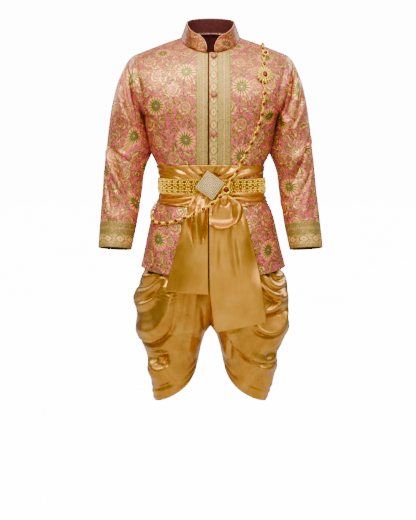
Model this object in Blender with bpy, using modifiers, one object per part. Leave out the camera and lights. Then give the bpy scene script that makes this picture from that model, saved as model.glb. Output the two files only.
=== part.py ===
"""A Thai court suit as it is worn, with no wearer inside: a brocade jacket, draped satin trousers,
a satin sash, a gilt belt with a square buckle, and a jewelled chain with a brooch.

Metres, +Z up. The front faces -Y, and the wearer's left is +X. The origin is the middle of the neck
opening, level with the seam between the collar and the shoulders, where the wearer holds the suit up.
The tables give the inner face of each cloth, and its wall is added outside that.
"""

import math

import bmesh
import bpy
import numpy as np
from mathutils import Vector

SEAM = 0.0003
BROCADE = 0.0020
SATIN = 0.0014
COLLAR_CLOTH = 0.0028

FRONT_EDGE_X = -0.007
UNDERLAP_X = 0.030
UNDERLAP_START, UNDERLAP_STEP = 0.024, 0.018
COLLAR_HEIGHT, COLLAR_LEAN_IN = 0.043, 0.016
COLLAR_CORNER, COLLAR_CORNER_FOOT = 0.034, 0.006
COLLAR_GAP = 0.012
COLLAR_CLEAR = BROCADE + 5 * SEAM

SASH_LIFT = BROCADE + 0.0008
BELT_LIFT = SASH_LIFT + SATIN + 0.0012
BELT_WALL = 0.0026
BELT_UNITS = 42
BELT_BOSS = 0.0028

BUCKLE_SIDE = 0.067
BUCKLE_PLATE = 0.004
BUCKLE_TIER = 0.0016
BUCKLE_TIERS = 3
BUCKLE_TURN = math.radians(54.0)
BUCKLE_X, BUCKLE_Y, BUCKLE_Z = -0.002, -0.1322, -0.442

CHAIN_RADIUS = 0.0030
BROOCH_RADIUS = 0.026
BROOCH_X, BROOCH_Z, BROOCH_OFF = 0.157, -0.124, 0.0100
PENDANT_RADIUS = 0.0115
PENDANT_X, PENDANT_Z, PENDANT_OFF = 0.042, -0.456, 0.0270
BUTTON_RADIUS = 0.0100
BUTTON_X = 0.009
BUTTON_HEIGHTS = (-0.066, -0.178, -0.291)


def table(names, *rows):
    """The rows' values under each column's name."""
    return dict(zip(names.split(), np.array(rows, float).T))


# The jacket body, one row for each line across it, from the neckline to the hem. A row runs from the
# centre front to the edge of the front panel, and from the centre back to the edge of the back one.
# Rows 0 to 4 end on the shoulder seam, rows 5 to 8 on the armhole, and the rest on the side seam.
JACKET = table(
    "front_z front_y back_z back_y side_x side_z sway front_edge back_edge turn square lift",
    (-0.055, -0.078, 0.010, 0.060, 0.085, -0.007, 0.000, 0.000, 0.000, 90, 2.1, 0.50),
    (-0.084, -0.093, -0.014, 0.078, 0.125, -0.019, 0.000, 0.000, 0.000, 90, 2.1, 0.65),
    (-0.110, -0.104, -0.042, 0.093, 0.165, -0.034, 0.000, 0.002, 0.002, 90, 2.1, 0.80),
    (-0.135, -0.112, -0.072, 0.104, 0.205, -0.049, 0.000, 0.004, 0.004, 90, 2.1, 0.90),
    (-0.158, -0.118, -0.102, 0.111, 0.238, -0.065, 0.000, 0.006, 0.006, 88, 2.1, 1.00),
    (-0.180, -0.123, -0.132, 0.116, 0.244, -0.094, 0.000, -0.028, 0.040, 76, 2.2, 1.00),
    (-0.202, -0.127, -0.162, 0.118, 0.237, -0.135, 0.000, -0.052, 0.060, 70, 2.3, 1.00),
    (-0.226, -0.130, -0.194, 0.118, 0.224, -0.180, 0.000, -0.060, 0.064, 70, 2.3, 1.00),
    (-0.248, -0.132, -0.226, 0.117, 0.210, -0.220, 0.000, -0.046, 0.046, 76, 2.3, 1.00),
    (-0.268, -0.132, -0.258, 0.114, 0.201, -0.247, 0.000, -0.001, -0.001, 88, 2.3, 1.00),
    (-0.303, -0.131, -0.300, 0.109, 0.190, -0.300, 0.000, 0.000, 0.000, 90, 2.3, 1.00),
    (-0.345, -0.127, -0.345, 0.103, 0.181, -0.347, 0.000, 0.000, 0.000, 90, 2.3, 1.00),
    (-0.385, -0.121, -0.390, 0.097, 0.161, -0.391, 0.000, 0.000, 0.000, 90, 2.3, 1.00),
    (-0.428, -0.116, -0.431, 0.093, 0.155, -0.431, 0.003, 0.000, 0.000, 90, 2.3, 1.00),
    (-0.468, -0.116, -0.468, 0.093, 0.156, -0.466, 0.004, 0.000, 0.000, 90, 2.3, 1.00),
    (-0.500, -0.119, -0.497, 0.097, 0.162, -0.494, 0.005, 0.000, 0.000, 90, 2.3, 1.00),
    (-0.526, -0.127, -0.522, 0.106, 0.175, -0.517, 0.006, 0.000, 0.000, 90, 2.3, 1.00),
    (-0.562, -0.134, -0.558, 0.114, 0.188, -0.553, 0.006, 0.000, 0.000, 90, 2.3, 1.00),
    (-0.614, -0.142, -0.610, 0.123, 0.200, -0.604, 0.006, 0.000, 0.000, 90, 2.3, 1.00),
    (-0.668, -0.149, -0.662, 0.131, 0.211, -0.654, 0.007, 0.000, 0.000, 90, 2.3, 1.00),
    (-0.717, -0.155, -0.708, 0.138, 0.222, -0.698, 0.008, 0.000, 0.000, 90, 2.3, 1.00),
)
HEM = len(JACKET["front_z"]) - 1
ARMHOLE_LINES = (4, 4.6, 5.3, 6, 6.8, 7.6, 8.4, 9)
JACKET_LINES = (0, 1, 2, 3, *ARMHOLE_LINES, 10, 11, 12, 12.5, 13, 13.5, 14, 14.5, 15, 16, 17, 18, 19, 20)
SASH_LINES = (11.95, 12.5, 13, 13.5, 14, 14.5, 15, 15.4)
BELT_LINES = (12.93, 13.19, 13.5, 13.81, 14.07)
SIDE_COLUMNS, BACK_COLUMNS, LAP_COLUMNS = 9, 8, 2
COLLAR_COLUMNS, COLLAR_ROWS = 10, 4
COLLAR_CORNER_STOPS = np.array([0, 0.18, 0.47, 1])

# A sleeve, one row for each ring after the armhole: its outer and inner points seen from the front,
# the middle of its depth, its half depth, how far the ring is pitched forward, in degrees, and how
# far it still has the armhole's shape.
SLEEVE = table(
    "outer_x outer_z inner_x inner_z middle_y half_depth pitch blend",
    (0.254, -0.081, 0.2090, -0.2495, 0.002, 0.066, 0, 0.85),
    (0.269, -0.108, 0.2120, -0.2540, 0.001, 0.068, 0, 0.55),
    (0.286, -0.152, 0.2130, -0.2630, 0.000, 0.070, 0, 0.20),
    (0.298, -0.208, 0.2090, -0.2780, 0.000, 0.070, 0, 0.00),
    (0.307, -0.262, 0.2020, -0.2960, 0.001, 0.069, 0, 0.00),
    (0.313, -0.308, 0.1945, -0.3190, 0.003, 0.068, 0, 0.00),
    (0.319, -0.352, 0.1890, -0.3530, 0.004, 0.067, 2, 0.00),
    (0.323, -0.386, 0.1965, -0.3860, 0.004, 0.066, 4, 0.00),
    (0.326, -0.420, 0.2060, -0.4200, 0.001, 0.064, 6, 0.00),
    (0.329, -0.464, 0.2110, -0.4660, -0.006, 0.061, 8, 0.00),
    (0.333, -0.512, 0.2190, -0.5150, -0.017, 0.058, 9, 0.00),
    (0.336, -0.560, 0.2260, -0.5630, -0.030, 0.056, 10, 0.00),
    (0.339, -0.604, 0.2350, -0.6080, -0.043, 0.053, 11, 0.00),
    (0.340, -0.637, 0.2420, -0.6420, -0.053, 0.051, 12, 0.00),
)
ARMHOLE_GAP, UNDERARM_GAP = 0.0024, 0.0042
LEFT_SLEEVE_SLIM = 0.008

# A trouser leg, one row for each ring from the waist to the hem. Where inner_x is negative the ring
# stops at the centre seam, so the two legs share one seat down to the fork.
LEG = table(
    "outer_x outer_z inner_x inner_z front_y back_y droop",
    (0.146, -0.455, -0.147, -0.455, -0.104, 0.083, 1.0),
    (0.150, -0.510, -0.148, -0.510, -0.108, 0.088, 1.0),
    (0.170, -0.570, -0.140, -0.570, -0.117, 0.097, 1.0),
    (0.185, -0.625, -0.124, -0.625, -0.122, 0.105, 1.0),
    (0.197, -0.675, -0.106, -0.675, -0.127, 0.112, 1.0),
    (0.207, -0.708, -0.094, -0.708, -0.131, 0.120, 1.0),
    (0.219, -0.735, -0.084, -0.735, -0.134, 0.126, 1.0),
    (0.228, -0.765, -0.066, -0.762, -0.136, 0.131, 1.0),
    (0.236, -0.800, -0.044, -0.798, -0.134, 0.133, 1.0),
    (0.236, -0.845, -0.022, -0.842, -0.130, 0.130, 1.0),
    (0.229, -0.890, -0.004, -0.880, -0.122, 0.124, 0.9),
    (0.220, -0.930, 0.016, -0.908, -0.112, 0.115, 0.8),
    (0.206, -0.968, 0.024, -0.930, -0.103, 0.106, 0.7),
    (0.198, -1.004, 0.030, -0.950, -0.094, 0.097, 0.65),
    (0.193, -1.042, 0.036, -0.970, -0.085, 0.088, 0.6),
    (0.185, -1.083, 0.042, -0.992, -0.077, 0.080, 0.52),
    (0.175, -1.123, 0.048, -1.012, -0.070, 0.072, 0.46),
)
LEG_LINES = (*np.linspace(0, 5, 4)[:-1], *np.linspace(5, 16, 24))
LEG_COLUMNS = 22
LEFT_LEG_FULLER, RIGHT_LEG_FULLER = 0.007, -0.004
FULL_FROM, FULL_TO, FULL_EASE = -0.66, -1.12, 0.06
FOLDS_FROM, FOLDS_EASE = -0.695, 0.03
INSEAM_PLAIN, INSEAM_EASE = 4, 30
FORK_SPREAD, LEAST_ANGLE = 1.3, 0.003

# Folds. Each is a soft ridge, or a trough where its height is negative, along a curve from a start
# past a middle to an end. Across is in degrees round a leg or a sleeve.
FOLD_COLUMNS = "across_0 z_0 across_1 z_1 across_2 z_2 above below height"

LEFT_LEG_FOLDS = table(
    FOLD_COLUMNS,
    (104, -0.705, 136, -0.835, 176, -0.710, 0.018, 0.020, 0.015),
    (124, -0.720, 142, -0.775, 166, -0.720, 0.016, 0.016, -0.008),
    (165, -0.700, 210, -0.840, 250, -0.700, 0.024, 0.022, 0.014),
    (70, -0.870, 116, -0.965, 240, -0.840, 0.022, 0.022, 0.021),
    (86, -0.820, 126, -0.890, 220, -0.800, 0.022, 0.022, -0.009),
    (40, -0.930, 92, -1.040, 236, -1.010, 0.020, 0.018, 0.015),
    (78, -0.965, 120, -1.000, 190, -0.960, 0.018, 0.018, -0.014),
    (190, -0.950, 226, -0.975, 262, -0.950, 0.022, 0.022, -0.012),
)
RIGHT_LEG_FOLDS = table(
    FOLD_COLUMNS,
    (92, -0.720, 128, -0.880, 240, -0.740, 0.022, 0.022, 0.018),
    (104, -0.760, 134, -0.810, 206, -0.760, 0.018, 0.018, -0.009),
    (70, -0.830, 110, -0.985, 240, -0.850, 0.022, 0.022, 0.022),
    (84, -0.840, 126, -0.895, 214, -0.820, 0.020, 0.020, -0.009),
    (54, -0.975, 106, -1.060, 232, -1.010, 0.020, 0.018, 0.015),
    (80, -0.985, 116, -1.010, 172, -0.985, 0.020, 0.020, -0.016),
    (196, -0.960, 226, -0.985, 262, -0.955, 0.022, 0.022, -0.012),
)
LEFT_SLEEVE_FOLDS = table(
    FOLD_COLUMNS,
    (300, -0.150, 265, -0.250, 215, -0.330, 0.024, 0.024, 0.005),
    (345, -0.260, 300, -0.330, 235, -0.400, 0.022, 0.022, 0.004),
    (150, -0.345, 190, -0.365, 250, -0.350, 0.016, 0.016, -0.005),
    (60, -0.140, 90, -0.240, 140, -0.330, 0.026, 0.026, 0.005),
    (20, -0.400, 70, -0.470, 130, -0.500, 0.024, 0.024, 0.004),
)
RIGHT_SLEEVE_FOLDS = table(
    FOLD_COLUMNS,
    (305, -0.170, 270, -0.280, 220, -0.350, 0.024, 0.024, 0.005),
    (340, -0.320, 290, -0.380, 235, -0.430, 0.022, 0.022, 0.004),
    (150, -0.350, 195, -0.372, 245, -0.355, 0.016, 0.016, -0.005),
    (50, -0.160, 95, -0.260, 140, -0.340, 0.026, 0.026, 0.005),
    (15, -0.430, 60, -0.490, 120, -0.520, 0.024, 0.024, 0.004),
)
LEG_ARC, SLEEVE_ARC = 0.0021, 0.0011

# The two hanging ends of the sash, one row for each line across, from behind the buckle to the end.
LEFT_TAIL = table(
    "low_x low_z high_x high_z stand pleat swing",
    (0.002, -0.474, 0.048, -0.474, 0.0062, 0.0010, 0.000),
    (-0.002, -0.496, 0.070, -0.492, 0.0088, 0.0020, 0.000),
    (-0.003, -0.522, 0.092, -0.516, 0.0118, 0.0030, 0.000),
    (-0.004, -0.560, 0.107, -0.555, 0.0090, 0.0030, 0.000),
    (-0.003, -0.620, 0.121, -0.614, 0.0070, 0.0030, 0.000),
    (0.000, -0.690, 0.138, -0.682, 0.0070, 0.0030, 0.004),
    (0.004, -0.760, 0.149, -0.748, 0.0080, 0.0035, 0.022),
    (0.009, -0.825, 0.157, -0.804, 0.0090, 0.0040, 0.026),
    (0.013, -0.879, 0.161, -0.850, 0.0090, 0.0045, 0.024),
)
RIGHT_TAIL = table(
    "low_x low_z high_x high_z stand pleat swing",
    (-0.046, -0.474, -0.006, -0.474, 0.0062, 0.0010, 0.000),
    (-0.060, -0.496, -0.008, -0.496, 0.0088, 0.0015, 0.000),
    (-0.071, -0.528, -0.009, -0.528, 0.0110, 0.0025, 0.000),
    (-0.084, -0.573, -0.010, -0.575, 0.0080, 0.0025, 0.000),
    (-0.101, -0.638, -0.009, -0.640, 0.0065, 0.0020, 0.000),
    (-0.117, -0.698, -0.008, -0.702, 0.0065, 0.0020, 0.002),
    (-0.133, -0.757, -0.006, -0.765, 0.0065, 0.0020, 0.014),
)
TAIL_COLUMNS = 8
SWING_REACH = 0.15

# The loop of sash that bulges beside the buckle, over the left tail. A row for each line across it,
# from its upper end down its outer side and back along the bottom: its outer edge and its lip.
PUFF = table(
    "edge_x edge_z lip_x lip_z",
    (0.062, -0.468, 0.048, -0.476),
    (0.078, -0.482, 0.054, -0.488),
    (0.089, -0.502, 0.058, -0.503),
    (0.090, -0.527, 0.057, -0.519),
    (0.075, -0.551, 0.048, -0.531),
    (0.046, -0.562, 0.036, -0.537),
    (0.018, -0.561, 0.023, -0.536),
    (0.002, -0.552, 0.012, -0.531),
)
PUFF_PROFILE = (0.0190, 0.0290, 0.0330, 0.0300, 0.0230)

# The chain's way round the body: where it lies, seen from the front or the back, and how far its
# middle stands off the jacket there.
CHAIN_FRONT = table(
    "x z off",
    (0.1545, -0.060, 0.0064),
    (0.1565, -0.085, 0.0064),
    (0.1570, -0.124, 0.0064),
    (0.1560, -0.180, 0.0064),
    (0.1470, -0.240, 0.0064),
    (0.1250, -0.305, 0.0064),
    (0.0980, -0.356, 0.0068),
    (0.0740, -0.402, 0.0110),
    (0.0560, -0.430, 0.0180),
    (0.0420, -0.456, 0.0230),
    (0.0200, -0.486, 0.0250),
    (-0.0060, -0.510, 0.0230),
    (-0.0400, -0.528, 0.0195),
    (-0.0780, -0.544, 0.0175),
    (-0.1180, -0.556, 0.0075),
    (-0.1500, -0.560, 0.0064),
)
CHAIN_BACK = table(
    "x z off",
    (-0.1450, -0.492, 0.0100),
    (-0.1150, -0.455, 0.0165),
    (-0.0900, -0.420, 0.0150),
    (-0.0650, -0.378, 0.0085),
    (-0.0300, -0.325, 0.0064),
    (0.0200, -0.245, 0.0064),
    (0.0700, -0.165, 0.0064),
    (0.1180, -0.100, 0.0064),
    (0.1420, -0.066, 0.0064),
)
# Where it passes round the right side and over the left shoulder, by the jacket's rows.
CHAIN_SIDE = table(
    "row across behind off",
    (17.05, -0.70, 0, 0.0064),
    (16.80, -0.85, 0, 0.0064),
    (16.45, -0.97, 0, 0.0064),
    (16.15, -0.94, 1, 0.0064),
    (15.70, -0.84, 1, 0.0068),
    (15.25, -0.78, 1, 0.0080),
)
CHAIN_SHOULDER = table(
    "row across behind off",
    (2.40, 0.60, 1, 0.0066),
    (2.15, 0.70, 1, 0.0068),
    (1.95, 0.80, 1, 0.0068),
    (1.82, 0.90, 1, 0.0066),
    (1.76, 0.98, 1, 0.0066),
    (1.76, 0.94, 0, 0.0066),
    (1.85, 0.86, 0, 0.0066),
    (1.97, 0.79, 0, 0.0064),
    (2.10, 0.735, 0, 0.0064),
)
CHAIN_POINTS = 92


def curve(values, at):
    """A smooth curve through a table's column, read at fractional rows."""
    values, at = np.asarray(values, float), np.asarray(at, float)
    slopes = np.gradient(values)
    i = np.clip(np.floor(at).astype(int), 0, len(values) - 2)
    t = at - i
    start = (1 + 2 * t) * (1 - t) ** 2 * values[i] + t * (1 - t) ** 2 * slopes[i]
    end = t * t * (3 - 2 * t) * values[i + 1] + t * t * (t - 1) * slopes[i + 1]
    return start + end


def read(rows_of, at):
    """Every column of a table, read at fractional rows."""
    return {name: curve(values, at) for name, values in rows_of.items()}


def ease(t):
    """Runs smoothly from 0 to 1 while t does."""
    t = np.clip(t, 0, 1)
    return t * t * (3 - 2 * t)


def unit(vectors):
    return vectors / np.maximum(np.linalg.norm(vectors, axis=-1, keepdims=True), 1e-12)


def points_of(x, y, z):
    return np.stack(np.broadcast_arrays(x, y, z), axis=-1)


def relief(across, z, folds):
    """How far the cloth stands out at each point because of the folds. Across and z are in metres."""
    total = np.zeros(np.broadcast(across, z).shape)
    for i in range(len(folds["height"])):
        near = np.full(total.shape, 9.0)
        taper = np.zeros(total.shape)
        for t in np.linspace(0, 1, 31):
            line = ((1 - t) ** 2, 2 * t * (1 - t), t * t)
            a = sum(w * folds[f"across_{k}"][i] for k, w in enumerate(line))
            b = sum(w * folds[f"z_{k}"][i] for k, w in enumerate(line))
            width = np.where(z > b, folds["above"][i], folds["below"][i])
            far = ((across - a) ** 2 + (z - b) ** 2) / width**2
            taper = np.where(far < near, math.sin(math.pi * t) ** 0.6, taper)
            near = np.minimum(near, far)
        total += folds["height"][i] * taper * np.exp(-near)
    return total


def round_folds(folds, arc):
    """The same folds with degrees round the limb turned to metres."""
    return {name: values * (arc if name.startswith("across") else 1) for name, values in folds.items()}


def jacket(rows, across, back=False):
    """Points of the jacket. Across runs from -1 at the right edge past 0 at the centre to 1."""
    row = read(JACKET, rows)
    middle_y, middle_z, edge_y = (
        (row["back_y"], row["back_z"], row["back_edge"])
        if back
        else (row["front_y"], row["front_z"], row["front_edge"])
    )
    power, turn = 2 / row["square"], np.radians(np.minimum(row["turn"], 90))
    angle = across * turn
    share = np.sign(angle) * (np.abs(np.sin(angle)) / np.sin(turn)) ** power
    flat = np.maximum(np.cos(turn), 0) ** power
    depth = (np.maximum(np.cos(angle), 0) ** power - flat) / (1 - flat)
    rise = 1 - np.maximum(1 - share**2, 0) ** row["lift"]
    return points_of(
        row["sway"] + row["side_x"] * share,
        edge_y + (middle_y - edge_y) * depth,
        middle_z + (row["side_z"] - middle_z) * rise,
    )


def across_at(rows, x):
    """Where a row passes x, in the units of jacket()'s across."""
    row = read(JACKET, rows)
    turn = np.radians(np.minimum(row["turn"], 90))
    x = x - row["sway"]
    share = np.minimum(np.abs(x) / row["side_x"], 1)
    return np.sign(x) * np.arcsin(share ** (row["square"] / 2) * np.sin(turn)) / turn


def off_jacket(rows, across, off, back=False):
    """Points that stand off the jacket by so much, and the way it faces there."""
    step = 0.02
    down = jacket(np.minimum(rows + step, HEM), across, back)
    down = down - jacket(np.maximum(rows - step, 0), across, back)
    side = jacket(rows, across + step, back) - jacket(rows, across - step, back)
    facing = unit(np.cross(down, side)) * (-1 if back else 1)
    return jacket(rows, across, back) + facing * np.asarray(off)[..., None], facing


def lying_on(x, z, off, back=False):
    """The same where x and z say. Below the hem the points go straight down."""
    x, z = np.broadcast_arrays(np.asarray(x, float), np.asarray(z, float))
    rows = np.interp(-z, -JACKET["back_z" if back else "front_z"], np.arange(HEM + 1.0))
    for _ in range(12):
        here = jacket(rows, across_at(rows, x), back)
        rows = np.clip(rows + (here[..., 2] - z) / 0.045, 0, HEM)
    at, facing = off_jacket(rows, across_at(rows, x), off, back)
    past_hem = np.minimum(z - here[..., 2], 0)
    return at + points_of(0, 0, past_hem), facing


def normals(grid, wraps=False):
    """Unit normals of a grid of points whose rows run down and whose columns run anticlockwise."""
    down = np.gradient(grid, axis=0)
    if wraps:
        along = np.roll(grid, -1, axis=1) - np.roll(grid, 1, axis=1)
    else:
        along = np.gradient(grid, axis=1)
    return unit(np.cross(down, along))


def lengths_along(line):
    """How far along a line of points each of them lies."""
    return np.concatenate([[0], np.cumsum(np.linalg.norm(np.diff(line, axis=0), axis=1))])


def at_stops(stops, run, line):
    """Points of a line at chosen lengths along it."""
    return np.stack([np.interp(stops, run, line[:, k]) for k in range(3)], axis=-1)


def grid_faces(rows, columns, wraps=False):
    at = np.arange(rows * columns).reshape(rows, columns)
    if wraps:
        at = np.concatenate([at, at[:, :1]], axis=1)
    return np.stack([at[:-1, :-1], at[1:, :-1], at[1:, 1:], at[:-1, 1:]], axis=-1).reshape(-1, 4)


def add_piece(name, points, faces, material):
    mesh = bpy.data.meshes.new(name)
    mesh.from_pydata([tuple(p) for p in points], [], [tuple(int(i) for i in f) for f in faces])
    mesh.materials.append(material)
    mesh.shade_smooth()
    piece = bpy.data.objects.new(name, mesh)
    PARTS.objects.link(piece)
    return piece


def cloth(name, grid, thickness, material, wraps=False):
    """A sheet through a grid of points, with its wall added on the outer side."""
    rows, columns = grid.shape[:2]
    piece = add_piece(name, grid.reshape(-1, 3), grid_faces(rows, columns, wraps), material)
    solid = piece.modifiers.new("wall", "SOLIDIFY")
    solid.thickness = thickness
    solid.offset = 1
    return piece


def mirrored(grid):
    """The grid on the other side of the body, its columns turned round so that it still faces out."""
    return grid[:, ::-1] * [-1, 1, 1]


def make_material(name, colour, roughness, metallic=0.0):
    made = bpy.data.materials.new(name)
    made.use_nodes = True
    shader = made.node_tree.nodes["Principled BSDF"]
    shader.inputs["Base Color"].default_value = (*colour, 1)
    shader.inputs["Roughness"].default_value = roughness
    shader.inputs["Metallic"].default_value = metallic
    made.diffuse_color = (*colour, 1)
    return made


for old in list(bpy.data.objects):
    bpy.data.objects.remove(old)
PARTS = bpy.data.collections.new("thai_court_suit")
bpy.context.scene.collection.children.link(PARTS)
BROCADE_CLOTH = make_material("brocade", (0.50, 0.20, 0.13), 0.45, 0.25)
DARK_BROCADE = make_material("dark_brocade", (0.28, 0.08, 0.04), 0.5, 0.2)
GOLD_SATIN = make_material("gold_satin", (0.48, 0.24, 0.055), 0.32, 0.15)
PALE_SATIN = make_material("pale_satin", (0.62, 0.37, 0.12), 0.32, 0.15)
GILT = make_material("gilt", (0.83, 0.52, 0.09), 0.28, 1.0)
RUBY = make_material("ruby_glass", (0.35, 0.004, 0.012), 0.08)
CRYSTAL = make_material("crystal", (0.86, 0.84, 0.78), 0.15, 0.4)


def front_columns(rows):
    """Where the columns of the two fronts lie, from the right side seam to the left one."""
    edge = across_at(rows, FRONT_EDGE_X)
    share = np.linspace(0, 1, SIDE_COLUMNS + 1)[None, :]
    return -1 + (edge + 1) * share, edge + (1 - edge) * share


def drawn_in(grid, *columns, gap=SEAM / 2):
    """The grid with its first or last columns drawn in along the rows by half a seam's gap."""
    grid = grid.copy()
    for column in columns:
        beside = 1 if column == 0 else -2
        grid[:, column] += gap * unit(grid[:, beside] - grid[:, column])
    return grid


def make_jacket():
    """Two fronts, the left lapped over the right, and a back in two halves with a centre seam."""
    rows = np.array(JACKET_LINES)[:, None]
    right_across, left_across = front_columns(rows)
    left = jacket(rows, left_across)
    cloth("jacket_front_left", drawn_in(left, -1), BROCADE, BROCADE_CLOTH)

    share = np.linspace(0, 1, LAP_COLUMNS + 1)[None, 1:]
    lap = across_at(rows, FRONT_EDGE_X + (UNDERLAP_X - FRONT_EDGE_X) * share)
    right = jacket(rows, np.concatenate([right_across, lap], axis=1))
    under = ease((right[..., 0] - FRONT_EDGE_X + UNDERLAP_START) / UNDERLAP_STEP)
    right = right - (BROCADE + 2 * SEAM) * under[..., None] * normals(right)
    cloth("jacket_front_right", drawn_in(right, 0), BROCADE, BROCADE_CLOTH)

    for side, start, end in (("left", 1, 0), ("right", 0, -1)):
        half = jacket(rows, np.linspace(start, end, BACK_COLUMNS + 1)[None, :], back=True)
        cloth("jacket_back_" + side, drawn_in(half, 0, -1), BROCADE, BROCADE_CLOTH)


def body_band(lines, lift):
    """A closed ring round the waist, on the jacket's own points and moved out."""
    rows = np.array(lines)[:, None]
    right_across, left_across = front_columns(rows)
    front = jacket(rows, np.concatenate([right_across[:, :-1], left_across[:, :-1]], axis=1))
    back = jacket(rows, np.linspace(1, -1, 2 * BACK_COLUMNS + 1)[None, :-1], back=True)
    ring = np.concatenate([front, back], axis=1)
    return ring + lift * normals(ring, wraps=True)


def sleeve(folds, slim):
    """The left sleeve, ring by ring from the armhole to the cuff, each from its outer point back."""
    rows = np.array(ARMHOLE_LINES)[:, None]
    edge = np.ones((1, 1))
    front, rear = jacket(rows, edge)[:, 0], jacket(rows, edge, back=True)[:, 0]
    armhole = np.concatenate([rear[:-1], front[:0:-1]])
    middle = (armhole[0] + armhole[len(rear) - 1]) / 2
    angle = 2 * math.pi * np.arange(len(armhole)) / len(armhole)
    rings = [armhole]
    for outer_x, outer_z, inner_x, inner_z, middle_y, half_depth, pitch, blend in zip(*SLEEVE.values()):
        taken_in = slim * math.sin(math.pi * outer_z / SLEEVE["outer_z"][-1])
        outer = np.array([outer_x - taken_in, middle_y, outer_z])
        inner = np.array([inner_x, middle_y, inner_z])
        centre, reach = (outer + inner) / 2, (outer - inner) / 2
        lean = math.radians(pitch)
        depth = np.array([0, math.cos(lean), -math.sin(lean)]) * half_depth
        ring = centre + np.cos(angle)[:, None] * reach + np.sin(angle)[:, None] * depth
        rings.append(ring * (1 - blend) + (armhole - middle + centre) * blend)
    low = (1 - np.cos(angle))[:, None] / 2
    rings[0] = armhole + (ARMHOLE_GAP + (UNDERARM_GAP - ARMHOLE_GAP) * low) * unit(rings[1] - armhole)
    grid = np.array(rings)
    settled = ease((np.arange(len(rings)) - 1) / 3)[:, None]
    lift = relief(np.degrees(angle) * SLEEVE_ARC, grid[..., 2], round_folds(folds, SLEEVE_ARC))
    return grid + (lift * settled)[..., None] * normals(grid, wraps=True)


def make_sleeves():
    left, right = sleeve(LEFT_SLEEVE_FOLDS, LEFT_SLEEVE_SLIM), sleeve(RIGHT_SLEEVE_FOLDS, 0)
    cloth("sleeve_left", left, BROCADE, BROCADE_CLOTH, wraps=True)
    cloth("sleeve_right", mirrored(right), BROCADE, BROCADE_CLOTH, wraps=True)


def make_collar():
    """A standing collar on the neckline, its two front corners rounded off."""
    out, home = np.linspace(0, 1, 41), np.linspace(1, 0, 41)[1:]
    half, lower = (np.concatenate([jacket(line, out), jacket(line, home, back=True)]) for line in (0, 0.1))
    run = lengths_along(half)
    corner = COLLAR_GAP + COLLAR_CORNER * COLLAR_CORNER_STOPS
    stops = np.concatenate([corner, np.linspace(corner[-1], run[-1], COLLAR_COLUMNS + 1)[1:]])
    left, under = at_stops(stops, run, half), at_stops(stops, run, lower)
    facing = normals(np.array([left, under]))[0]
    seam = np.concatenate([left, left[-2::-1] * [-1, 1, 1]])
    off = np.minimum((stops - COLLAR_GAP) / COLLAR_CORNER, 1)
    tall = COLLAR_CORNER_FOOT + (COLLAR_HEIGHT - COLLAR_CORNER_FOOT) * np.sqrt(1 - (1 - off) ** 2)
    tall = np.concatenate([tall, tall[-2::-1]])
    outward = unit(seam * [1, 1, 0])
    foot = seam + COLLAR_CLEAR * np.concatenate([facing, facing[-2::-1] * [-1, 1, 1]])
    rows = []
    for share in np.linspace(1, 0, COLLAR_ROWS + 1):
        up = points_of(0 * tall, 0 * tall, tall) * share
        rows.append(foot + up - outward * (COLLAR_LEAN_IN * share * tall / COLLAR_HEIGHT)[:, None])
    cloth("collar", np.array(rows), COLLAR_CLOTH, DARK_BROCADE)


def leg(folds, fuller):
    """The left leg, from its inner side past the front and the outer side to the back."""
    row = read(LEG, np.array(LEG_LINES)[:, None])
    height = row["outer_z"]
    full = ease((FULL_FROM - height) / FULL_EASE) * ease((height - FULL_TO) / FULL_EASE)
    row["outer_x"] = row["outer_x"] + fuller * full
    middle, half = (row["outer_x"] + row["inner_x"]) / 2, (row["outer_x"] - row["inner_x"]) / 2
    clear = SEAM + SATIN * np.clip(FORK_SPREAD * middle / half, 0, 1)
    start = np.maximum(np.arccos(np.clip((middle - clear) / half, -1, 1)), LEAST_ANGLE)
    angle = start + (2 * math.pi - 2 * start) * np.linspace(0, 1, LEG_COLUMNS + 1)[None, :]
    x = np.maximum(middle - half * np.cos(angle), clear)
    y = np.where(np.sin(angle) > 0, row["front_y"], -row["back_y"]) * np.sin(angle)
    fall = np.clip((x - row["inner_x"]) / (2 * half), 0, 1) ** row["droop"]
    z = row["inner_z"] + (row["outer_z"] - row["inner_z"]) * fall
    grid = points_of(x, y, z)
    around = np.degrees(angle)
    below_hem = ease((FOLDS_FROM - z) / FOLDS_EASE)
    off_inseam = ease((np.minimum(around, 360 - around) - INSEAM_PLAIN) / INSEAM_EASE)
    lift = relief(around * LEG_ARC, z, round_folds(folds, LEG_ARC)) * below_hem * off_inseam
    return grid + lift[..., None] * normals(grid)


def make_trousers():
    left, right = leg(LEFT_LEG_FOLDS, LEFT_LEG_FULLER), leg(RIGHT_LEG_FOLDS, RIGHT_LEG_FULLER)
    cloth("trouser_leg_left", left, SATIN, GOLD_SATIN)
    cloth("trouser_leg_right", mirrored(right), SATIN, GOLD_SATIN)


def tail(rows_of, pleats, phase):
    """A hanging end of the sash, over the jacket and then straight down past its hem."""
    count = len(rows_of["low_x"])
    row = read(rows_of, np.linspace(0, count - 1, 2 * count - 1)[:, None])
    share = np.linspace(0, 1, TAIL_COLUMNS + 1)[None, :]
    x = row["low_x"] + (row["high_x"] - row["low_x"]) * share
    z = row["low_z"] + (row["high_z"] - row["low_z"]) * share
    wave = np.sin(2 * math.pi * pleats * share + phase) * row["pleat"]
    swing = row["swing"] * (np.abs(x) / SWING_REACH) ** 2
    return lying_on(x, z, row["stand"] + wave)[0] - points_of(0 * x, swing, 0 * x)


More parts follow.
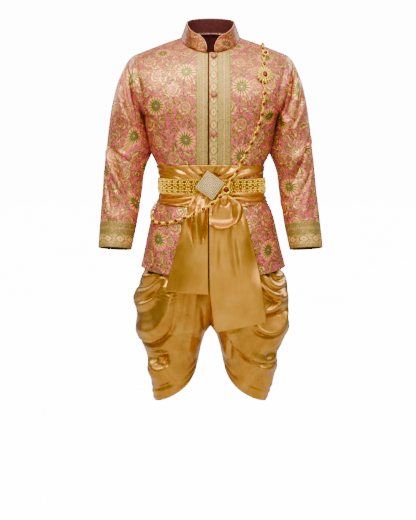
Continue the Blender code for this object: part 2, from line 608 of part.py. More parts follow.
def make_sash():
    band = body_band(SASH_LINES, SASH_LIFT)
    cloth("sash_wrap", band, SATIN, PALE_SATIN, wraps=True)
    cloth("sash_tail_left", tail(LEFT_TAIL, 2.5, 0.4), SATIN, PALE_SATIN)
    cloth("sash_tail_right", tail(RIGHT_TAIL, 2.0, 1.2), SATIN, PALE_SATIN)
    share = np.linspace(0, 1, len(PUFF_PROFILE))[:, None]
    x = PUFF["edge_x"] + (PUFF["lip_x"] - PUFF["edge_x"]) * share
    z = PUFF["edge_z"] + (PUFF["lip_z"] - PUFF["edge_z"]) * share
    cloth("sash_loop", lying_on(x, z, np.array(PUFF_PROFILE)[:, None] + 0 * x)[0], SATIN, PALE_SATIN)


def make_belt():
    """A band of square links, each with two bosses raised on its face."""
    ring = body_band(BELT_LINES, BELT_LIFT)
    closed = np.concatenate([ring, ring[:, :1]], axis=1)
    run = lengths_along(closed[len(closed) // 2])
    stops = np.arange(2 * BELT_UNITS) * run[-1] / (2 * BELT_UNITS)
    inner = np.array([at_stops(stops, run, line) for line in closed])
    out = normals(inner, wraps=True)
    boss = np.zeros((len(BELT_LINES), 2 * BELT_UNITS))
    boss[[1, 3], 1::2] = BELT_BOSS
    boss[2, 1::2] = 0.4 * BELT_BOSS
    outer = inner + out * (BELT_WALL + boss)[..., None]
    rows, columns = inner.shape[:2]
    count = rows * columns
    faces = [grid_faces(rows, columns, wraps=True), count + grid_faces(rows, columns, wraps=True)[:, ::-1]]
    here = np.arange(columns)
    there = (here + 1) % columns
    last = (rows - 1) * columns
    faces.append(np.stack([here, there, there + count, here + count], axis=-1))
    faces.append(np.stack([there + last, here + last, here + last + count, there + last + count], axis=-1))
    points = np.concatenate([outer.reshape(-1, 3), inner.reshape(-1, 3)])
    add_piece("belt", points, np.concatenate(faces), GILT)


def make_buckle():
    """A square plate that rises in steps, set on its corner where the belt's ends meet."""
    form = bmesh.new()
    bmesh.ops.create_cube(form, size=1)
    bmesh.ops.scale(form, vec=(BUCKLE_SIDE, BUCKLE_SIDE, BUCKLE_PLATE), verts=form.verts)
    top = max(form.faces, key=lambda face: face.calc_center_median().z)
    for _ in range(BUCKLE_TIERS):
        bmesh.ops.inset_region(form, faces=[top], thickness=BUCKLE_SIDE / 16)
        bmesh.ops.inset_region(form, faces=[top], thickness=BUCKLE_TIER)
        bmesh.ops.translate(form, vec=(0, 0, BUCKLE_TIER), verts=top.verts)
    mesh = bpy.data.meshes.new("belt_buckle")
    form.to_mesh(mesh)
    form.free()
    mesh.materials.append(CRYSTAL)
    plate = bpy.data.objects.new("belt_buckle", mesh)
    plate.location = (BUCKLE_X, BUCKLE_Y, BUCKLE_Z)
    plate.rotation_euler = (math.radians(90), -BUCKLE_TURN, 0)
    PARTS.objects.link(plate)


def make_turned(name, profile, x, z, off, material, sides=16):
    """A round piece from its profile, top to bottom down its outer side, lying on the jacket."""
    mesh = bpy.data.meshes.new(name)
    points = [(radius, 0, height) for radius, height in profile]
    mesh.from_pydata(points, [(i, i + 1) for i in range(len(points) - 1)], [])
    mesh.materials.append(material)
    piece = bpy.data.objects.new(name, mesh)
    PARTS.objects.link(piece)
    turn = piece.modifiers.new("turn", "SCREW")
    turn.steps = turn.render_steps = sides
    turn.use_merge_vertices = True
    turn.merge_threshold = 0.00005
    at, facing = lying_on(x, z, off)
    piece.location = Vector(at)
    piece.rotation_euler = Vector(facing).to_track_quat("Z", "Y").to_euler()


def dome(radius, edge, height, rings=3):
    """A profile that rises from a flat back, past an upright edge, to a domed top."""
    turn = [math.radians(90 * k / rings) for k in range(rings + 1)]
    arc = [(radius * math.sin(t), edge + (height - edge) * math.cos(t)) for t in turn]
    return [*arc, (radius, 0), (0, 0)]


def make_jewels():
    for number, height in enumerate(BUTTON_HEIGHTS, start=1):
        profile = dome(BUTTON_RADIUS, 0.0015, 0.0075)
        make_turned(f"button_{number}", profile, BUTTON_X, height, BROCADE + 3 * SEAM, DARK_BROCADE, 12)
    disc = [(0, 0.0075), (BROOCH_RADIUS * 0.5, 0.0062), (BROOCH_RADIUS, 0.0022), (BROOCH_RADIUS, 0), (0, 0)]
    make_turned("brooch", disc, BROOCH_X, BROOCH_Z, BROOCH_OFF, GILT, 20)
    stone = dome(PENDANT_RADIUS, 0.002, 0.0085)
    make_turned("chain_pendant", stone, PENDANT_X, PENDANT_Z, PENDANT_OFF, RUBY, 12)


def make_chain():
    """A closed chain, over the left shoulder, down across the front, and up again across the back."""
    stretches = []
    for lying, crossing, behind in ((CHAIN_FRONT, CHAIN_SIDE, False), (CHAIN_BACK, CHAIN_SHOULDER, True)):
        count = len(lying["x"])
        fine = read(lying, np.linspace(0, count - 1, 6 * count - 5))
        stretches.append(lying_on(fine["x"], fine["z"], fine["off"], behind)[0])
        for row, across, back, off in zip(*crossing.values()):
            stretches.append(off_jacket(row, np.array([across]), off, bool(back))[0])
    route = np.concatenate(stretches)
    closed = np.concatenate([route, route[:1]])
    run = lengths_along(closed)
    even = at_stops(np.linspace(0, run[-1], CHAIN_POINTS + 1)[:-1], run, closed)
    data = bpy.data.curves.new("chain", "CURVE")
    data.dimensions = "3D"
    data.bevel_depth = CHAIN_RADIUS
    data.bevel_resolution = 1
    line = data.splines.new("POLY")
    line.points.add(len(even) - 1)
    for point, at in zip(line.points, even):
        point.co = (*at, 1)
    line.use_cyclic_u = True
    data.materials.append(GILT)
    PARTS.objects.link(bpy.data.objects.new("chain", data))


make_jacket()
make_sleeves()
make_collar()
make_trousers()
make_sash()
make_belt()
make_buckle()
make_jewels()
make_chain()
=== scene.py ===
"""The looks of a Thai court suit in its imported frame: brocade jacket, draped satin trousers, satin
sash, gilt belt with a stone-set buckle, and a jewelled body chain. Metres, +Z up, the front at -Y.
"""

import math
from functools import partial

import bmesh
import bpy
import numpy as np
from mathutils import Matrix, Vector


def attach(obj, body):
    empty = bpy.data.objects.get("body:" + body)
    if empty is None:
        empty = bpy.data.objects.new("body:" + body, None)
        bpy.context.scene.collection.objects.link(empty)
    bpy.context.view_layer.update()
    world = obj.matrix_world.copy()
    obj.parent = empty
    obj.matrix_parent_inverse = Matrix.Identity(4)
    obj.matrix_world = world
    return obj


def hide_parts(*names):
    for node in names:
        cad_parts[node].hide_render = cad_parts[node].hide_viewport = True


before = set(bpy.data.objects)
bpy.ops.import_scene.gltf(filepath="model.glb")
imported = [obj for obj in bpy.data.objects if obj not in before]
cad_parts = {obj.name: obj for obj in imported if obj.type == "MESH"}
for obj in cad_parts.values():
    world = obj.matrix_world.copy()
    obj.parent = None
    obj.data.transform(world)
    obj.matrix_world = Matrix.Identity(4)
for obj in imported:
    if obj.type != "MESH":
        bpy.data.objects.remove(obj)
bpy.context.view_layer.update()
bpy.ops.object.select_all(action="DESELECT")

# ------------------------------------------------------------------------------ jacket body
# Two fronts and two back halves of a polyester brocade: a pink satin ground with rosettes, paisleys
# and leaves in gold, cream and green weft. The left front laps over the right, and both have the
# cloth's own woven border down their edges. The panels are sewn at the shoulders, sides and back.
SEAM, SEAM_SUNK = 0.0003, 0.0006
BROCADE = 0.002
FRONT_EDGE_X = -0.007
UNDERLAP_X = 0.03
UNDERLAP_START, UNDERLAP_STEP = 0.024, 0.018


def table(names, *rows):
    """The rows' values under each column's name. Millimetres become metres, but for starred columns."""
    columns = zip(names.split(), np.array(rows, float).T)
    return {name.strip("*"): column / (1 if "*" in name else 1000) for name, column in columns}


# The jacket body, one row for each line across it, from the neckline to the hem. A row runs from the
# centre front to the edge of the front panel, and from the centre back to the edge of the back one.
# Rows 0 to 4 end on the shoulder seam, rows 5 to 8 on the armhole, and the rest on the side seam.
JACKET = table(
    "front_z front_y back_z back_y side_x side_z sway front_edge back_edge *turn *square *lift",
    (-55, -78, 10, 60, 85, -7, 0, 0, 0, 90, 2.1, 0.5),
    (-84, -93, -14, 78, 125, -19, 0, 0, 0, 90, 2.1, 0.65),
    (-110, -104, -42, 93, 165, -34, 0, 2, 2, 90, 2.1, 0.8),
    (-135, -112, -72, 104, 205, -49, 0, 4, 4, 90, 2.1, 0.9),
    (-158, -118, -102, 111, 238, -65, 0, 6, 6, 88, 2.1, 1),
    (-180, -123, -132, 116, 244, -94, 0, -28, 40, 76, 2.2, 1),
    (-202, -127, -162, 118, 237, -135, 0, -52, 60, 70, 2.3, 1),
    (-226, -130, -194, 118, 224, -180, 0, -60, 64, 70, 2.3, 1),
    (-248, -132, -226, 117, 210, -220, 0, -46, 46, 76, 2.3, 1),
    (-268, -132, -258, 114, 201, -247, 0, -1, -1, 88, 2.3, 1),
    (-303, -131, -300, 109, 190, -300, 0, 0, 0, 90, 2.3, 1),
    (-345, -127, -345, 103, 181, -347, 0, 0, 0, 90, 2.3, 1),
    (-385, -121, -390, 97, 161, -391, 0, 0, 0, 90, 2.3, 1),
    (-428, -116, -431, 93, 155, -431, 3, 0, 0, 90, 2.3, 1),
    (-468, -116, -468, 93, 156, -466, 4, 0, 0, 90, 2.3, 1),
    (-500, -119, -497, 97, 162, -494, 5, 0, 0, 90, 2.3, 1),
    (-526, -127, -522, 106, 175, -517, 6, 0, 0, 90, 2.3, 1),
    (-562, -134, -558, 114, 188, -553, 6, 0, 0, 90, 2.3, 1),
    (-614, -142, -610, 123, 200, -604, 6, 0, 0, 90, 2.3, 1),
    (-668, -149, -662, 131, 211, -654, 7, 0, 0, 90, 2.3, 1),
    (-717, -155, -708, 138, 222, -698, 8, 0, 0, 90, 2.3, 1),
)
HEM = len(JACKET["front_z"]) - 1
UNDERARM, ROW_TALL = 9, 0.045
JACKET_ROWS, SIDE_COLUMNS, LAP_COLUMNS, BACK_COLUMNS = 151, 56, 9, 52

# Where a rosette falls on each front: from its edge, and up from the underarm's level.
LEFT_ROSETTE = np.array([0.099, 0.11])
RIGHT_ROSETTE = np.array([-0.066, 0.16])
BACK_ROSETTE = np.array([0.046, 0.11])

# Creases are soft ridges, or troughs where their height is negative, along a curve from a start past
# a middle to an end, with a width on each side. Here across is x.
CREASE_COLUMNS = "across_0 z_0 across_1 z_1 across_2 z_2 above below height"
DRAPE_COLUMNS = "across_0 z_0 across_1 z_1 across_2 z_2 width height groove"
CREASE_TAPER, DRAPE_TAPER, FAR_OFF = 0.6, 0.8, 9.0
CREASE_STEPS, DRAPE_STEPS = 31, 41
DRAPE_BELLY, DRAPE_GROOVE, DRAPE_GROOVE_WIDE = 2.6, 1.9, 1.1
LEFT_FRONT_CREASES = table(
    CREASE_COLUMNS,
    (232, -88, 226, -150, 206, -215, 6, 6, 6),
    (220, -92, 212, -150, 190, -220, 7, 7, -5),
    (205, -200, 170, -235, 130, -240, 10, 10, 2.2),
    (196, -250, 150, -290, 110, -380, 11, 11, 2.4),
    (190, -300, 165, -330, 150, -385, 8, 8, -2.2),
    (70, -330, 72, -360, 60, -395, 9, 9, 1.8),
    (120, -560, 126, -630, 140, -715, 16, 16, 3),
    (176, -545, 186, -620, 196, -705, 14, 14, -3),
)
RIGHT_FRONT_CREASES = table(
    CREASE_COLUMNS,
    (-234, -88, -228, -150, -208, -215, 6, 6, 6),
    (-222, -90, -214, -150, -192, -220, 7, 7, -5),
    (-206, -195, -180, -250, -128, -262, 11, 11, 2.4),
    (-198, -255, -165, -300, -120, -385, 11, 11, 2.6),
    (-188, -290, -172, -330, -158, -385, 8, 8, -2.2),
    (-80, -325, -78, -360, -62, -395, 9, 9, 1.8),
    (-150, -560, -160, -630, -168, -715, 15, 15, 3),
    (-186, -545, -196, -620, -204, -705, 13, 13, -3),
)
BACK_CREASES = table(
    CREASE_COLUMNS,
    (222, -110, 212, -170, 200, -235, 7, 7, 3.4),
    (-222, -110, -214, -165, -198, -230, 7, 7, 3.4),
    (205, -200, 120, -215, 30, -190, 14, 14, 2.6),
    (-205, -205, -110, -230, -20, -215, 14, 14, 2.6),
    (190, -290, 130, -330, 60, -385, 12, 12, 2.6),
    (-190, -285, -140, -340, -80, -385, 12, 12, 2.6),
    (10, -300, 6, -340, 12, -390, 12, 12, 2.4),
    (110, -550, 120, -630, 130, -700, 16, 16, 3.2),
    (20, -560, 16, -630, 22, -705, 18, 18, 3),
    (-80, -550, -90, -630, -86, -705, 16, 16, 3.2),
    (-160, -545, -170, -620, -182, -700, 14, 14, -3),
)


def curve(values, at):
    """A smooth curve through values, one for each whole number, read in between."""
    values, at = np.asarray(values, float), np.asarray(at, float)
    slopes = np.gradient(values, axis=0)
    i = np.clip(np.floor(at).astype(int), 0, len(values) - 2)
    t = (at - i).reshape(at.shape + (1,) * (values.ndim - 1))
    start = (1 + 2 * t) * (1 - t) ** 2 * values[i] + t * (1 - t) ** 2 * slopes[i]
    end = t * t * (3 - 2 * t) * values[i + 1] + t * t * (t - 1) * slopes[i + 1]
    return start + end


def read(rows_of, at):
    """Every column of a table, read at fractional rows."""
    return {name: curve(values, at) for name, values in rows_of.items()}


def ease(t):
    """Runs smoothly from 0 to 1 while t does."""
    t = np.clip(t, 0, 1)
    return t * t * (3 - 2 * t)


def unit(vectors):
    return vectors / np.maximum(np.linalg.norm(vectors, axis=-1, keepdims=True), 1e-12)


def points_of(x, y, z):
    return np.stack(np.broadcast_arrays(x, y, z), axis=-1)


def bent(t, start, middle, end):
    """A curve from a start past a middle to an end."""
    return (1 - t) ** 2 * start + 2 * t * (1 - t) * middle + t * t * end


def relief(across, z, folds):
    """How far the cloth stands out at each point because of the folds. Across and z are in metres."""
    total = np.zeros(np.broadcast(across, z).shape)
    for a0, z0, a1, z1, a2, z2, above, below, height in zip(*folds.values()):
        near = np.full(total.shape, FAR_OFF)
        taper = np.zeros(total.shape)
        for t in np.linspace(0, 1, CREASE_STEPS):
            a, b = bent(t, a0, a1, a2), bent(t, z0, z1, z2)
            far = ((across - a) ** 2 + (z - b) ** 2) / np.where(z > b, above, below) ** 2
            taper = np.where(far < near, math.sin(math.pi * t) ** CREASE_TAPER, taper)
            near = np.minimum(near, far)
        total += height * taper * np.exp(-near)
    return total


def round_folds(folds, arc):
    """The same folds with degrees round the limb turned to metres."""
    return {name: values * (arc if name.startswith("across") else 1) for name, values in folds.items()}


def jacket(rows, across, back=False):
    """Points of the jacket. Across runs from -1 at the right edge past 0 at the centre to 1."""
    row = read(JACKET, rows)
    side = "back" if back else "front"
    middle_y, middle_z, edge_y = (row[side + part] for part in ("_y", "_z", "_edge"))
    power, turn = 2 / row["square"], np.radians(np.minimum(row["turn"], 90))
    angle = across * turn
    share = np.sign(angle) * (np.abs(np.sin(angle)) / np.sin(turn)) ** power
    flat = np.maximum(np.cos(turn), 0) ** power
    depth = (np.maximum(np.cos(angle), 0) ** power - flat) / (1 - flat)
    rise = 1 - np.maximum(1 - share**2, 0) ** row["lift"]
    return points_of(
        row["sway"] + row["side_x"] * share,
        edge_y + (middle_y - edge_y) * depth,
        middle_z + (row["side_z"] - middle_z) * rise,
    )


def across_at(rows, x):
    """Where a row passes x, in the units of jacket()'s across."""
    row = read(JACKET, rows)
    turn = np.radians(np.minimum(row["turn"], 90))
    x = x - row["sway"]
    share = np.minimum(np.abs(x) / row["side_x"], 1)
    return np.sign(x) * np.arcsin(share ** (row["square"] / 2) * np.sin(turn)) / turn


def off_jacket(rows, across, off, back):
    """Points that stand off the jacket by so much, and the way it faces there."""
    step = 0.02
    down = jacket(np.minimum(rows + step, HEM), across, back)
    down = down - jacket(np.maximum(rows - step, 0), across, back)
    side = jacket(rows, across + step, back) - jacket(rows, across - step, back)
    facing = unit(np.cross(down, side)) * (-1 if back else 1)
    return jacket(rows, across, back) + facing * np.asarray(off)[..., None], facing


def lying_on(x, z, off, back=False):
    """The same where x and z say. Below the hem the points go straight down."""
    x, z = np.broadcast_arrays(np.asarray(x, float), np.asarray(z, float))
    rows = np.interp(-z, -JACKET["back_z" if back else "front_z"], np.arange(HEM + 1.0))
    for _ in range(12):
        here = jacket(rows, across_at(rows, x), back)
        rows = np.clip(rows + (here[..., 2] - z) / ROW_TALL, 0, HEM)
    at, facing = off_jacket(rows, across_at(rows, x), off, back)
    past_hem = np.minimum(z - here[..., 2], 0)
    return at + points_of(0, 0, past_hem), facing


def normals(grid, wraps=False):
    """Unit normals of a grid of points whose rows run down and whose columns run anticlockwise."""
    down = np.gradient(grid, axis=0)
    if wraps:
        along = np.roll(grid, -1, axis=1) - np.roll(grid, 1, axis=1)
    else:
        along = np.gradient(grid, axis=1)
    return unit(np.cross(down, along))


def drapes(across, z, folds):
    """Crisp folds of falling cloth along curves: a rounded lip, a soft belly on the left of the way it
    runs, and on its right a narrow groove where the cloth folds under."""
    total = np.zeros(np.broadcast(across, z).shape)
    for a0, z0, a1, z1, a2, z2, width, height, groove in zip(*folds.values()):
        near = np.full(total.shape, FAR_OFF)
        aside = np.zeros(total.shape)
        taper = np.zeros(total.shape)
        for t in np.linspace(0, 1, DRAPE_STEPS):
            a, b = bent(t, a0, a1, a2), bent(t, z0, z1, z2)
            run = (1 - t) * (a1 - a0) + t * (a2 - a1), (1 - t) * (z1 - z0) + t * (z2 - z1)
            far = np.hypot(across - a, z - b)
            closer = far < near
            side = np.sign(run[0] * (z - b) - run[1] * (across - a))
            aside = np.where(closer, far * side / width, aside)
            taper = np.where(closer, math.sin(math.pi * t) ** DRAPE_TAPER, taper)
            near = np.minimum(near, far)
        lip = np.exp(-((aside / np.where(aside > 0, DRAPE_BELLY, 1)) ** 2))
        under = np.exp(-(((aside + DRAPE_GROOVE) / DRAPE_GROOVE_WIDE) ** 2)) * (aside < 0)
        total += taper * (height * lip - groove * under)
    return total


def run_along(grid, axis):
    """How far each point of a grid lies down its column, or along its row where axis is 1."""
    steps = np.linalg.norm(np.diff(grid, axis=axis), axis=2)
    return np.concatenate([np.take(steps, [0], axis=axis) * 0, np.cumsum(steps, axis=axis)], axis=axis)


def laid_flat(grid, home, level):
    """Where a grid's points lie on the flat cloth: across from its home column, up from a level row."""
    across, down = run_along(grid, 1), run_along(grid, 0)
    return np.stack([across - across[:, [home]], down[[level]] - down], axis=2)


def put(name, data):
    """A new object of some data, in the scene."""
    thing = bpy.data.objects.new(name, data)
    bpy.context.scene.collection.objects.link(thing)
    return thing


def cloth(name, grid, maps, thickness, materials, wraps=False):
    """A sheet of cloth with its inner face on a grid of points and its wall outside that. Its UV maps
    are in metres, and one column wider than a grid that wraps. The materials are its outside's and
    its inside's."""
    rows, columns = grid.shape[:2]
    number = np.arange(rows * columns).reshape(rows, columns)
    if wraps:
        number = np.concatenate([number, number[:, :1]], axis=1)

    def corners(of):
        return np.stack([of[:-1, :-1], of[1:, :-1], of[1:, 1:], of[:-1, 1:]], axis=2)

    mesh = bpy.data.meshes.new(name)
    mesh.from_pydata(grid.reshape(-1, 3).tolist(), [], corners(number).reshape(-1, 4).tolist())
    for map_name, at in maps.items():
        mesh.uv_layers.new(name=map_name).data.foreach_set("uv", corners(at).reshape(-1))
    for material in materials:
        mesh.materials.append(material)
    mesh.shade_smooth()
    piece = put(name, mesh)
    wall = piece.modifiers.new("wall", "SOLIDIFY")
    wall.thickness = thickness
    wall.offset = 1
    wall.material_offset = len(materials) - 1
    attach(piece, "root")
    return piece


def linear(code):
    """An sRGB hex colour as the linear one that a shader takes."""
    parts = [int(code[i : i + 2], 16) / 255 for i in (1, 3, 5)]
    return (*[c / 12.92 if c <= 0.04045 else ((c + 0.055) / 1.055) ** 2.4 for c in parts], 1)


MODES = {
    "Mix": "data_type", "TexNoise": "noise_dimensions", "TexVoronoi": "voronoi_dimensions",
    "TexWave": "bands_direction", "VectorRotate": "rotation_type", "UVMap": "uv_map",
}


def add_node(tree, kind, *feeds, stops=(), soft=False, **settings):
    """Adds a node with its settings and gives its outputs. Its kind may be followed by its mode. It is
    fed by values, hex colours or other nodes' outputs, in order or in a dict by socket. A colour ramp's
    stops each hold a place and the colour or grey from there on, or blended if soft."""
    kind, *mode = kind.split()
    node = tree.nodes.new("ShaderNode" + kind)
    if mode:
        settings[MODES.get(kind, "operation")] = mode[0]
    for name, value in settings.items():
        setattr(node, name, value)
    if stops:
        ramp = node.color_ramp
        ramp.interpolation = "LINEAR" if soft else "CONSTANT"
        while len(ramp.elements) < len(stops):
            ramp.elements.new(1)
        for element, (at, colour) in zip(ramp.elements, stops):
            element.position = at
            element.color = linear(colour) if isinstance(colour, str) else (colour, colour, colour, 1)
    by_socket = feeds[0] if feeds and isinstance(feeds[0], dict) else dict(enumerate(feeds))
    for socket, value in by_socket.items():
        if isinstance(value, bpy.types.NodeSocket):
            tree.links.new(value, node.inputs[socket])
        else:
            node.inputs[socket].default_value = linear(value) if isinstance(value, str) else value
    return node.outputs


def begin_material(name, **plain):
    """A new material, the way to add its nodes, and its shader, whose plain values are set by name."""
    material = bpy.data.materials.new(name)
    material.use_nodes = True
    shader = material.node_tree.nodes["Principled BSDF"]
    for socket, value in plain.items():
        shader.inputs[socket.replace("_", " ").title().replace("Ior", "IOR")].default_value = value
    return material, partial(add_node, material.node_tree), shader


def wire(shader, **outputs):
    """Links outputs to the shader's sockets, named in small letters."""
    for socket, output in outputs.items():
        shader.id_data.links.new(output, shader.inputs[socket.replace("_", " ").title()])


# The brocade's repeat: a rosette every 92 mm across and 207 mm down, each column dropped by a little
# over half a repeat, with paisleys and sprays of leaves between.
REPEAT_WIDE, REPEAT_TALL, REPEAT_DROP = 0.092, 0.207, 0.112
PETALS, STEMS_APART = 16, 0.0135
SCROLLS = (((0.046, 0.056), 0.6, 0.0165), ((0.047, 0.002), 3.6, 0.012), ((0.002, 0.101), 2.2, 0.015))
LEAVES = (
    (0.0062, 0.0034, 0.0015, 0.0006, 0.66, ("gold", "olive", "cream", "olive", "green", "gold")),
    (0.011, 0.007, 0.0021, 0.003, 0.66, ("cream", "olive", "gold", "cream", "orange", "gold")),
    (0.019, 0.0116, 0.0027, 0.006, 0.62, ("cream", "gold", "olive", "cream", "gold", "cream")),
)
SCROLL_SHADES = (
    (0.0, "cream"), (0.15, "dark"), (0.24, "green"), (0.34, "gold"), (0.46, "dark"), (0.52, "ground"),
    (0.7, "olive"), (0.84, "dark"), (0.9, "orange"),
)
PETAL_WIDTHS = ((0.0, 0.0), (0.33, 0.12), (0.46, 0.23), (0.6, 0.28), (0.7, 0.18), (0.76, 0.0))
FACE_SHADES = ((0.0, "dark"), (0.42, "rust"), (0.58, "ground"))
EYE_SHADES = ((0.0, "cream"), (0.04, "eye"), (0.105, "dark"))
ROSETTE_RADIUS = 0.04
PINK_BROCADE = {
    "ground": "#F44A6A", "deep": "#BE3A56", "gold": "#D69A34", "cream": "#F8D458", "green": "#5E6634",
    "olive": "#A08E44", "dark": "#4E3C20", "orange": "#F0825A", "rust": "#A04028", "eye": "#F47A58",
    "disc": "#7C7C3E", "petal": "#F6DA48",
}


def repeat_cell(add, spot, at=(0.0, 0.0)):
    """Where a point lies within its repeat, measured from the nearest of the motifs that start at."""
    apart = add("SeparateXYZ", spot)
    across = add("Math SUBTRACT", apart[0], at[0])[0]
    up = add("Math SUBTRACT", apart[1], at[1])[0]
    column = add("Math DIVIDE", across, REPEAT_WIDE)[0]
    column = add("Math ROUND", column)[0]
    across = add("Math MULTIPLY_ADD", column, -REPEAT_WIDE, across)[0]
    up = add("Math MULTIPLY_ADD", column, -REPEAT_DROP, up)[0]
    row = add("Math DIVIDE", up, REPEAT_TALL)[0]
    row = add("Math ROUND", row)[0]
    up = add("Math MULTIPLY_ADD", row, -REPEAT_TALL, up)[0]
    return add("CombineXYZ", across, up)[0]


def polar(add, local):
    """A point's distance from the middle, and its bearing in turns."""
    apart = add("SeparateXYZ", local)
    far = add("VectorMath LENGTH", local)[1]
    bearing = add("Math ARCTAN2", apart[1], apart[0])[0]
    return far, add("Math MULTIPLY", bearing, 1 / (2 * math.pi))[0]


def add_leaves(add, spot, colour, covered, leaves, colours):
    """Curled leaves strewn over a colour, each outlined, and where their weft then covers the ground."""
    spacing, long, wide, curl, filled, lots = leaves
    strewn = add("TexVoronoi 2D", {0: spot, "Scale": 1 / spacing, "Randomness": 0.85})
    lot = add("SeparateColor", strewn["Color"])
    local = add("VectorMath SUBTRACT", spot, strewn["Position"])[0]
    turn = add("Math MULTIPLY", lot[0], 2 * math.pi)[0]
    local = add("VectorRotate Z_AXIS", {0: local, "Angle": turn})[0]
    apart = add("SeparateXYZ", local)
    along = add("Math MULTIPLY", apart[0], 1 / long)[0]
    along = add("Math MULTIPLY", along, along)[0]
    bowed = add("Math MULTIPLY_ADD", along, curl, apart[1])[0]
    aside = add("Math ABSOLUTE", bowed)[0]
    field = add("Math MULTIPLY_ADD", aside, 1 / wide, along)[0]
    shares = [(k / len(lots), colours[name]) for k, name in enumerate(lots)]
    inside = add("ValToRGB", lot[1], stops=shares)[0]
    rim = add("Math GREATER_THAN", field, 0.8)[0]
    leaf = add("Mix RGBA", {0: rim, 6: inside, 7: colours["dark"]})[2]
    shape = add("Math LESS_THAN", field, 1.35)[0]
    grows = add("Math LESS_THAN", lot[2], filled)[0]
    shape = add("Math MULTIPLY", shape, grows)[0]
    covered = add("Math MAXIMUM", covered, shape)[0]
    return add("Mix RGBA", {0: shape, 6: colour, 7: leaf})[2], covered


def add_scrolls(add, spot, colour, covered, scrolls, colours):
    """A curling scroll in every repeat, drawn out to one side, round a small flower."""
    at, turned, size = scrolls
    local = repeat_cell(add, spot, at)
    local = add("VectorRotate Z_AXIS", {0: local, "Angle": turned})[0]
    far, bearing = polar(add, local)
    lean = add("Math MULTIPLY", bearing, 2 * math.pi)[0]
    lean = add("Math COSINE", lean)[0]
    lean = add("Math MULTIPLY_ADD", lean, -0.5, 1.0)[0]
    rim = add("Math MULTIPLY", bearing, 11.0)[0]
    rim = add("Math PINGPONG", rim, 0.5)[0]
    drop = add("Math MULTIPLY", far, 1 / size)[0]
    drop = add("Math MULTIPLY", drop, lean)[0]
    curl = add("Math MULTIPLY", drop, 1.9)[0]
    curl = add("Math SUBTRACT", curl, bearing)[0]
    curl = add("Math FRACT", curl)[0]
    curled = add("ValToRGB", curl, stops=[(start, colours[shade]) for start, shade in SCROLL_SHADES])[0]
    beads = add("Math GREATER_THAN", rim, 0.22)[0]
    beads = add("Mix RGBA", {0: beads, 6: colours["ground"], 7: colours["cream"]})[2]
    outer = add("Math GREATER_THAN", drop, 0.84)[0]
    curled = add("Mix RGBA", {0: outer, 6: curled, 7: beads})[2]
    flower = add("Math MULTIPLY_ADD", rim, 0.22, 0.1)[0]
    flower = add("Math LESS_THAN", drop, flower)[0]
    curled = add("Mix RGBA", {0: flower, 6: curled, 7: colours["orange"]})[2]
    shape = add("Math LESS_THAN", drop, 1.0)[0]
    raised = add("Math LESS_THAN", curl, 0.34)[0]
    raised = add("Math MULTIPLY", raised, shape)[0]
    covered = add("Math MAXIMUM", covered, raised)[0]
    return add("Mix RGBA", {0: shape, 6: colour, 7: curled})[2], covered


def add_rosettes(add, spot, colour, covered, colours):
    """A rayed olive disc with a salmon eye, pale petals round it, and a ring of plain ground outside."""
    far, bearing = polar(add, repeat_cell(add, spot))
    reach = add("Math MULTIPLY", far, 1 / ROSETTE_RADIUS)[0]
    spokes = add("Math MULTIPLY", bearing, float(PETALS))[0]
    spokes = add("Math PINGPONG", spokes, 0.5)[0]
    width = add("ValToRGB", reach, stops=PETAL_WIDTHS, soft=True)[0]
    petal = add("Math LESS_THAN", spokes, width)[0]
    beyond = add("Math GREATER_THAN", reach, 0.34)[0]
    petal = add("Math MULTIPLY", petal, beyond)[0]
    face = add("ValToRGB", reach, stops=[(start, colours[shade]) for start, shade in FACE_SHADES])[0]
    face = add("Mix RGBA", {0: petal, 6: face, 7: colours["petal"]})[2]
    star = add("Math MULTIPLY_ADD", spokes, 0.24, 0.25)[0]
    disc = add("Math LESS_THAN", reach, star)[0]
    face = add("Mix RGBA", {0: disc, 6: face, 7: colours["disc"]})[2]
    eye = add("ValToRGB", reach, stops=[(start, colours[shade]) for start, shade in EYE_SHADES])[0]
    inner = add("Math LESS_THAN", reach, 0.125)[0]
    face = add("Mix RGBA", {0: inner, 6: face, 7: eye})[2]
    ragged = add("TexNoise 2D", {0: spot, "Scale": 110.0, "Detail": 1.0})[0]
    ragged = add("Math MULTIPLY_ADD", ragged, 0.45, reach)[0]
    clear = add("Math LESS_THAN", ragged, 0.98)[0]
    raised = add("Math MAXIMUM", disc, petal)[0]
    bare = add("Math SUBTRACT", covered, clear)[0]
    covered = add("Math MAXIMUM", bare, raised, use_clamp=True)[0]
    return add("Mix RGBA", {0: clear, 6: colour, 7: face})[2], covered


def brocade_pattern(add, spot, colours):
    """The all-over pattern's colour, and 1 where gold weft covers the ground."""
    wander = add("TexNoise 2D", {0: spot, "Scale": 40.0, "Detail": 1.5})[1]
    wander = add("VectorMath SUBTRACT", wander, (0.5, 0.5, 0.5))[0]
    drawn = add("VectorMath MULTIPLY_ADD", wander, (0.012, 0.012, 0), spot)[0]
    shade = add("TexNoise 2D", {0: spot, "Scale": 60.0, "Detail": 2.0})[0]
    tones = (0.35, colours["deep"]), (0.6, colours["ground"])
    colour = add("ValToRGB", shade, stops=tones, soft=True)[0]
    net = {0: drawn, "Scale": 1 / STEMS_APART, "Randomness": 0.9}
    stems = add("TexVoronoi 2D", net, feature="DISTANCE_TO_EDGE")[0]
    covered = add("Math LESS_THAN", stems, 0.055)[0]
    colour = add("Mix RGBA", {0: covered, 6: colour, 7: colours["olive"]})[2]
    for leaves in LEAVES:
        colour, covered = add_leaves(add, drawn, colour, covered, leaves, colours)
    for scrolls in SCROLLS:
        colour, covered = add_scrolls(add, drawn, colour, covered, scrolls, colours)
    return add_rosettes(add, spot, colour, covered, colours)


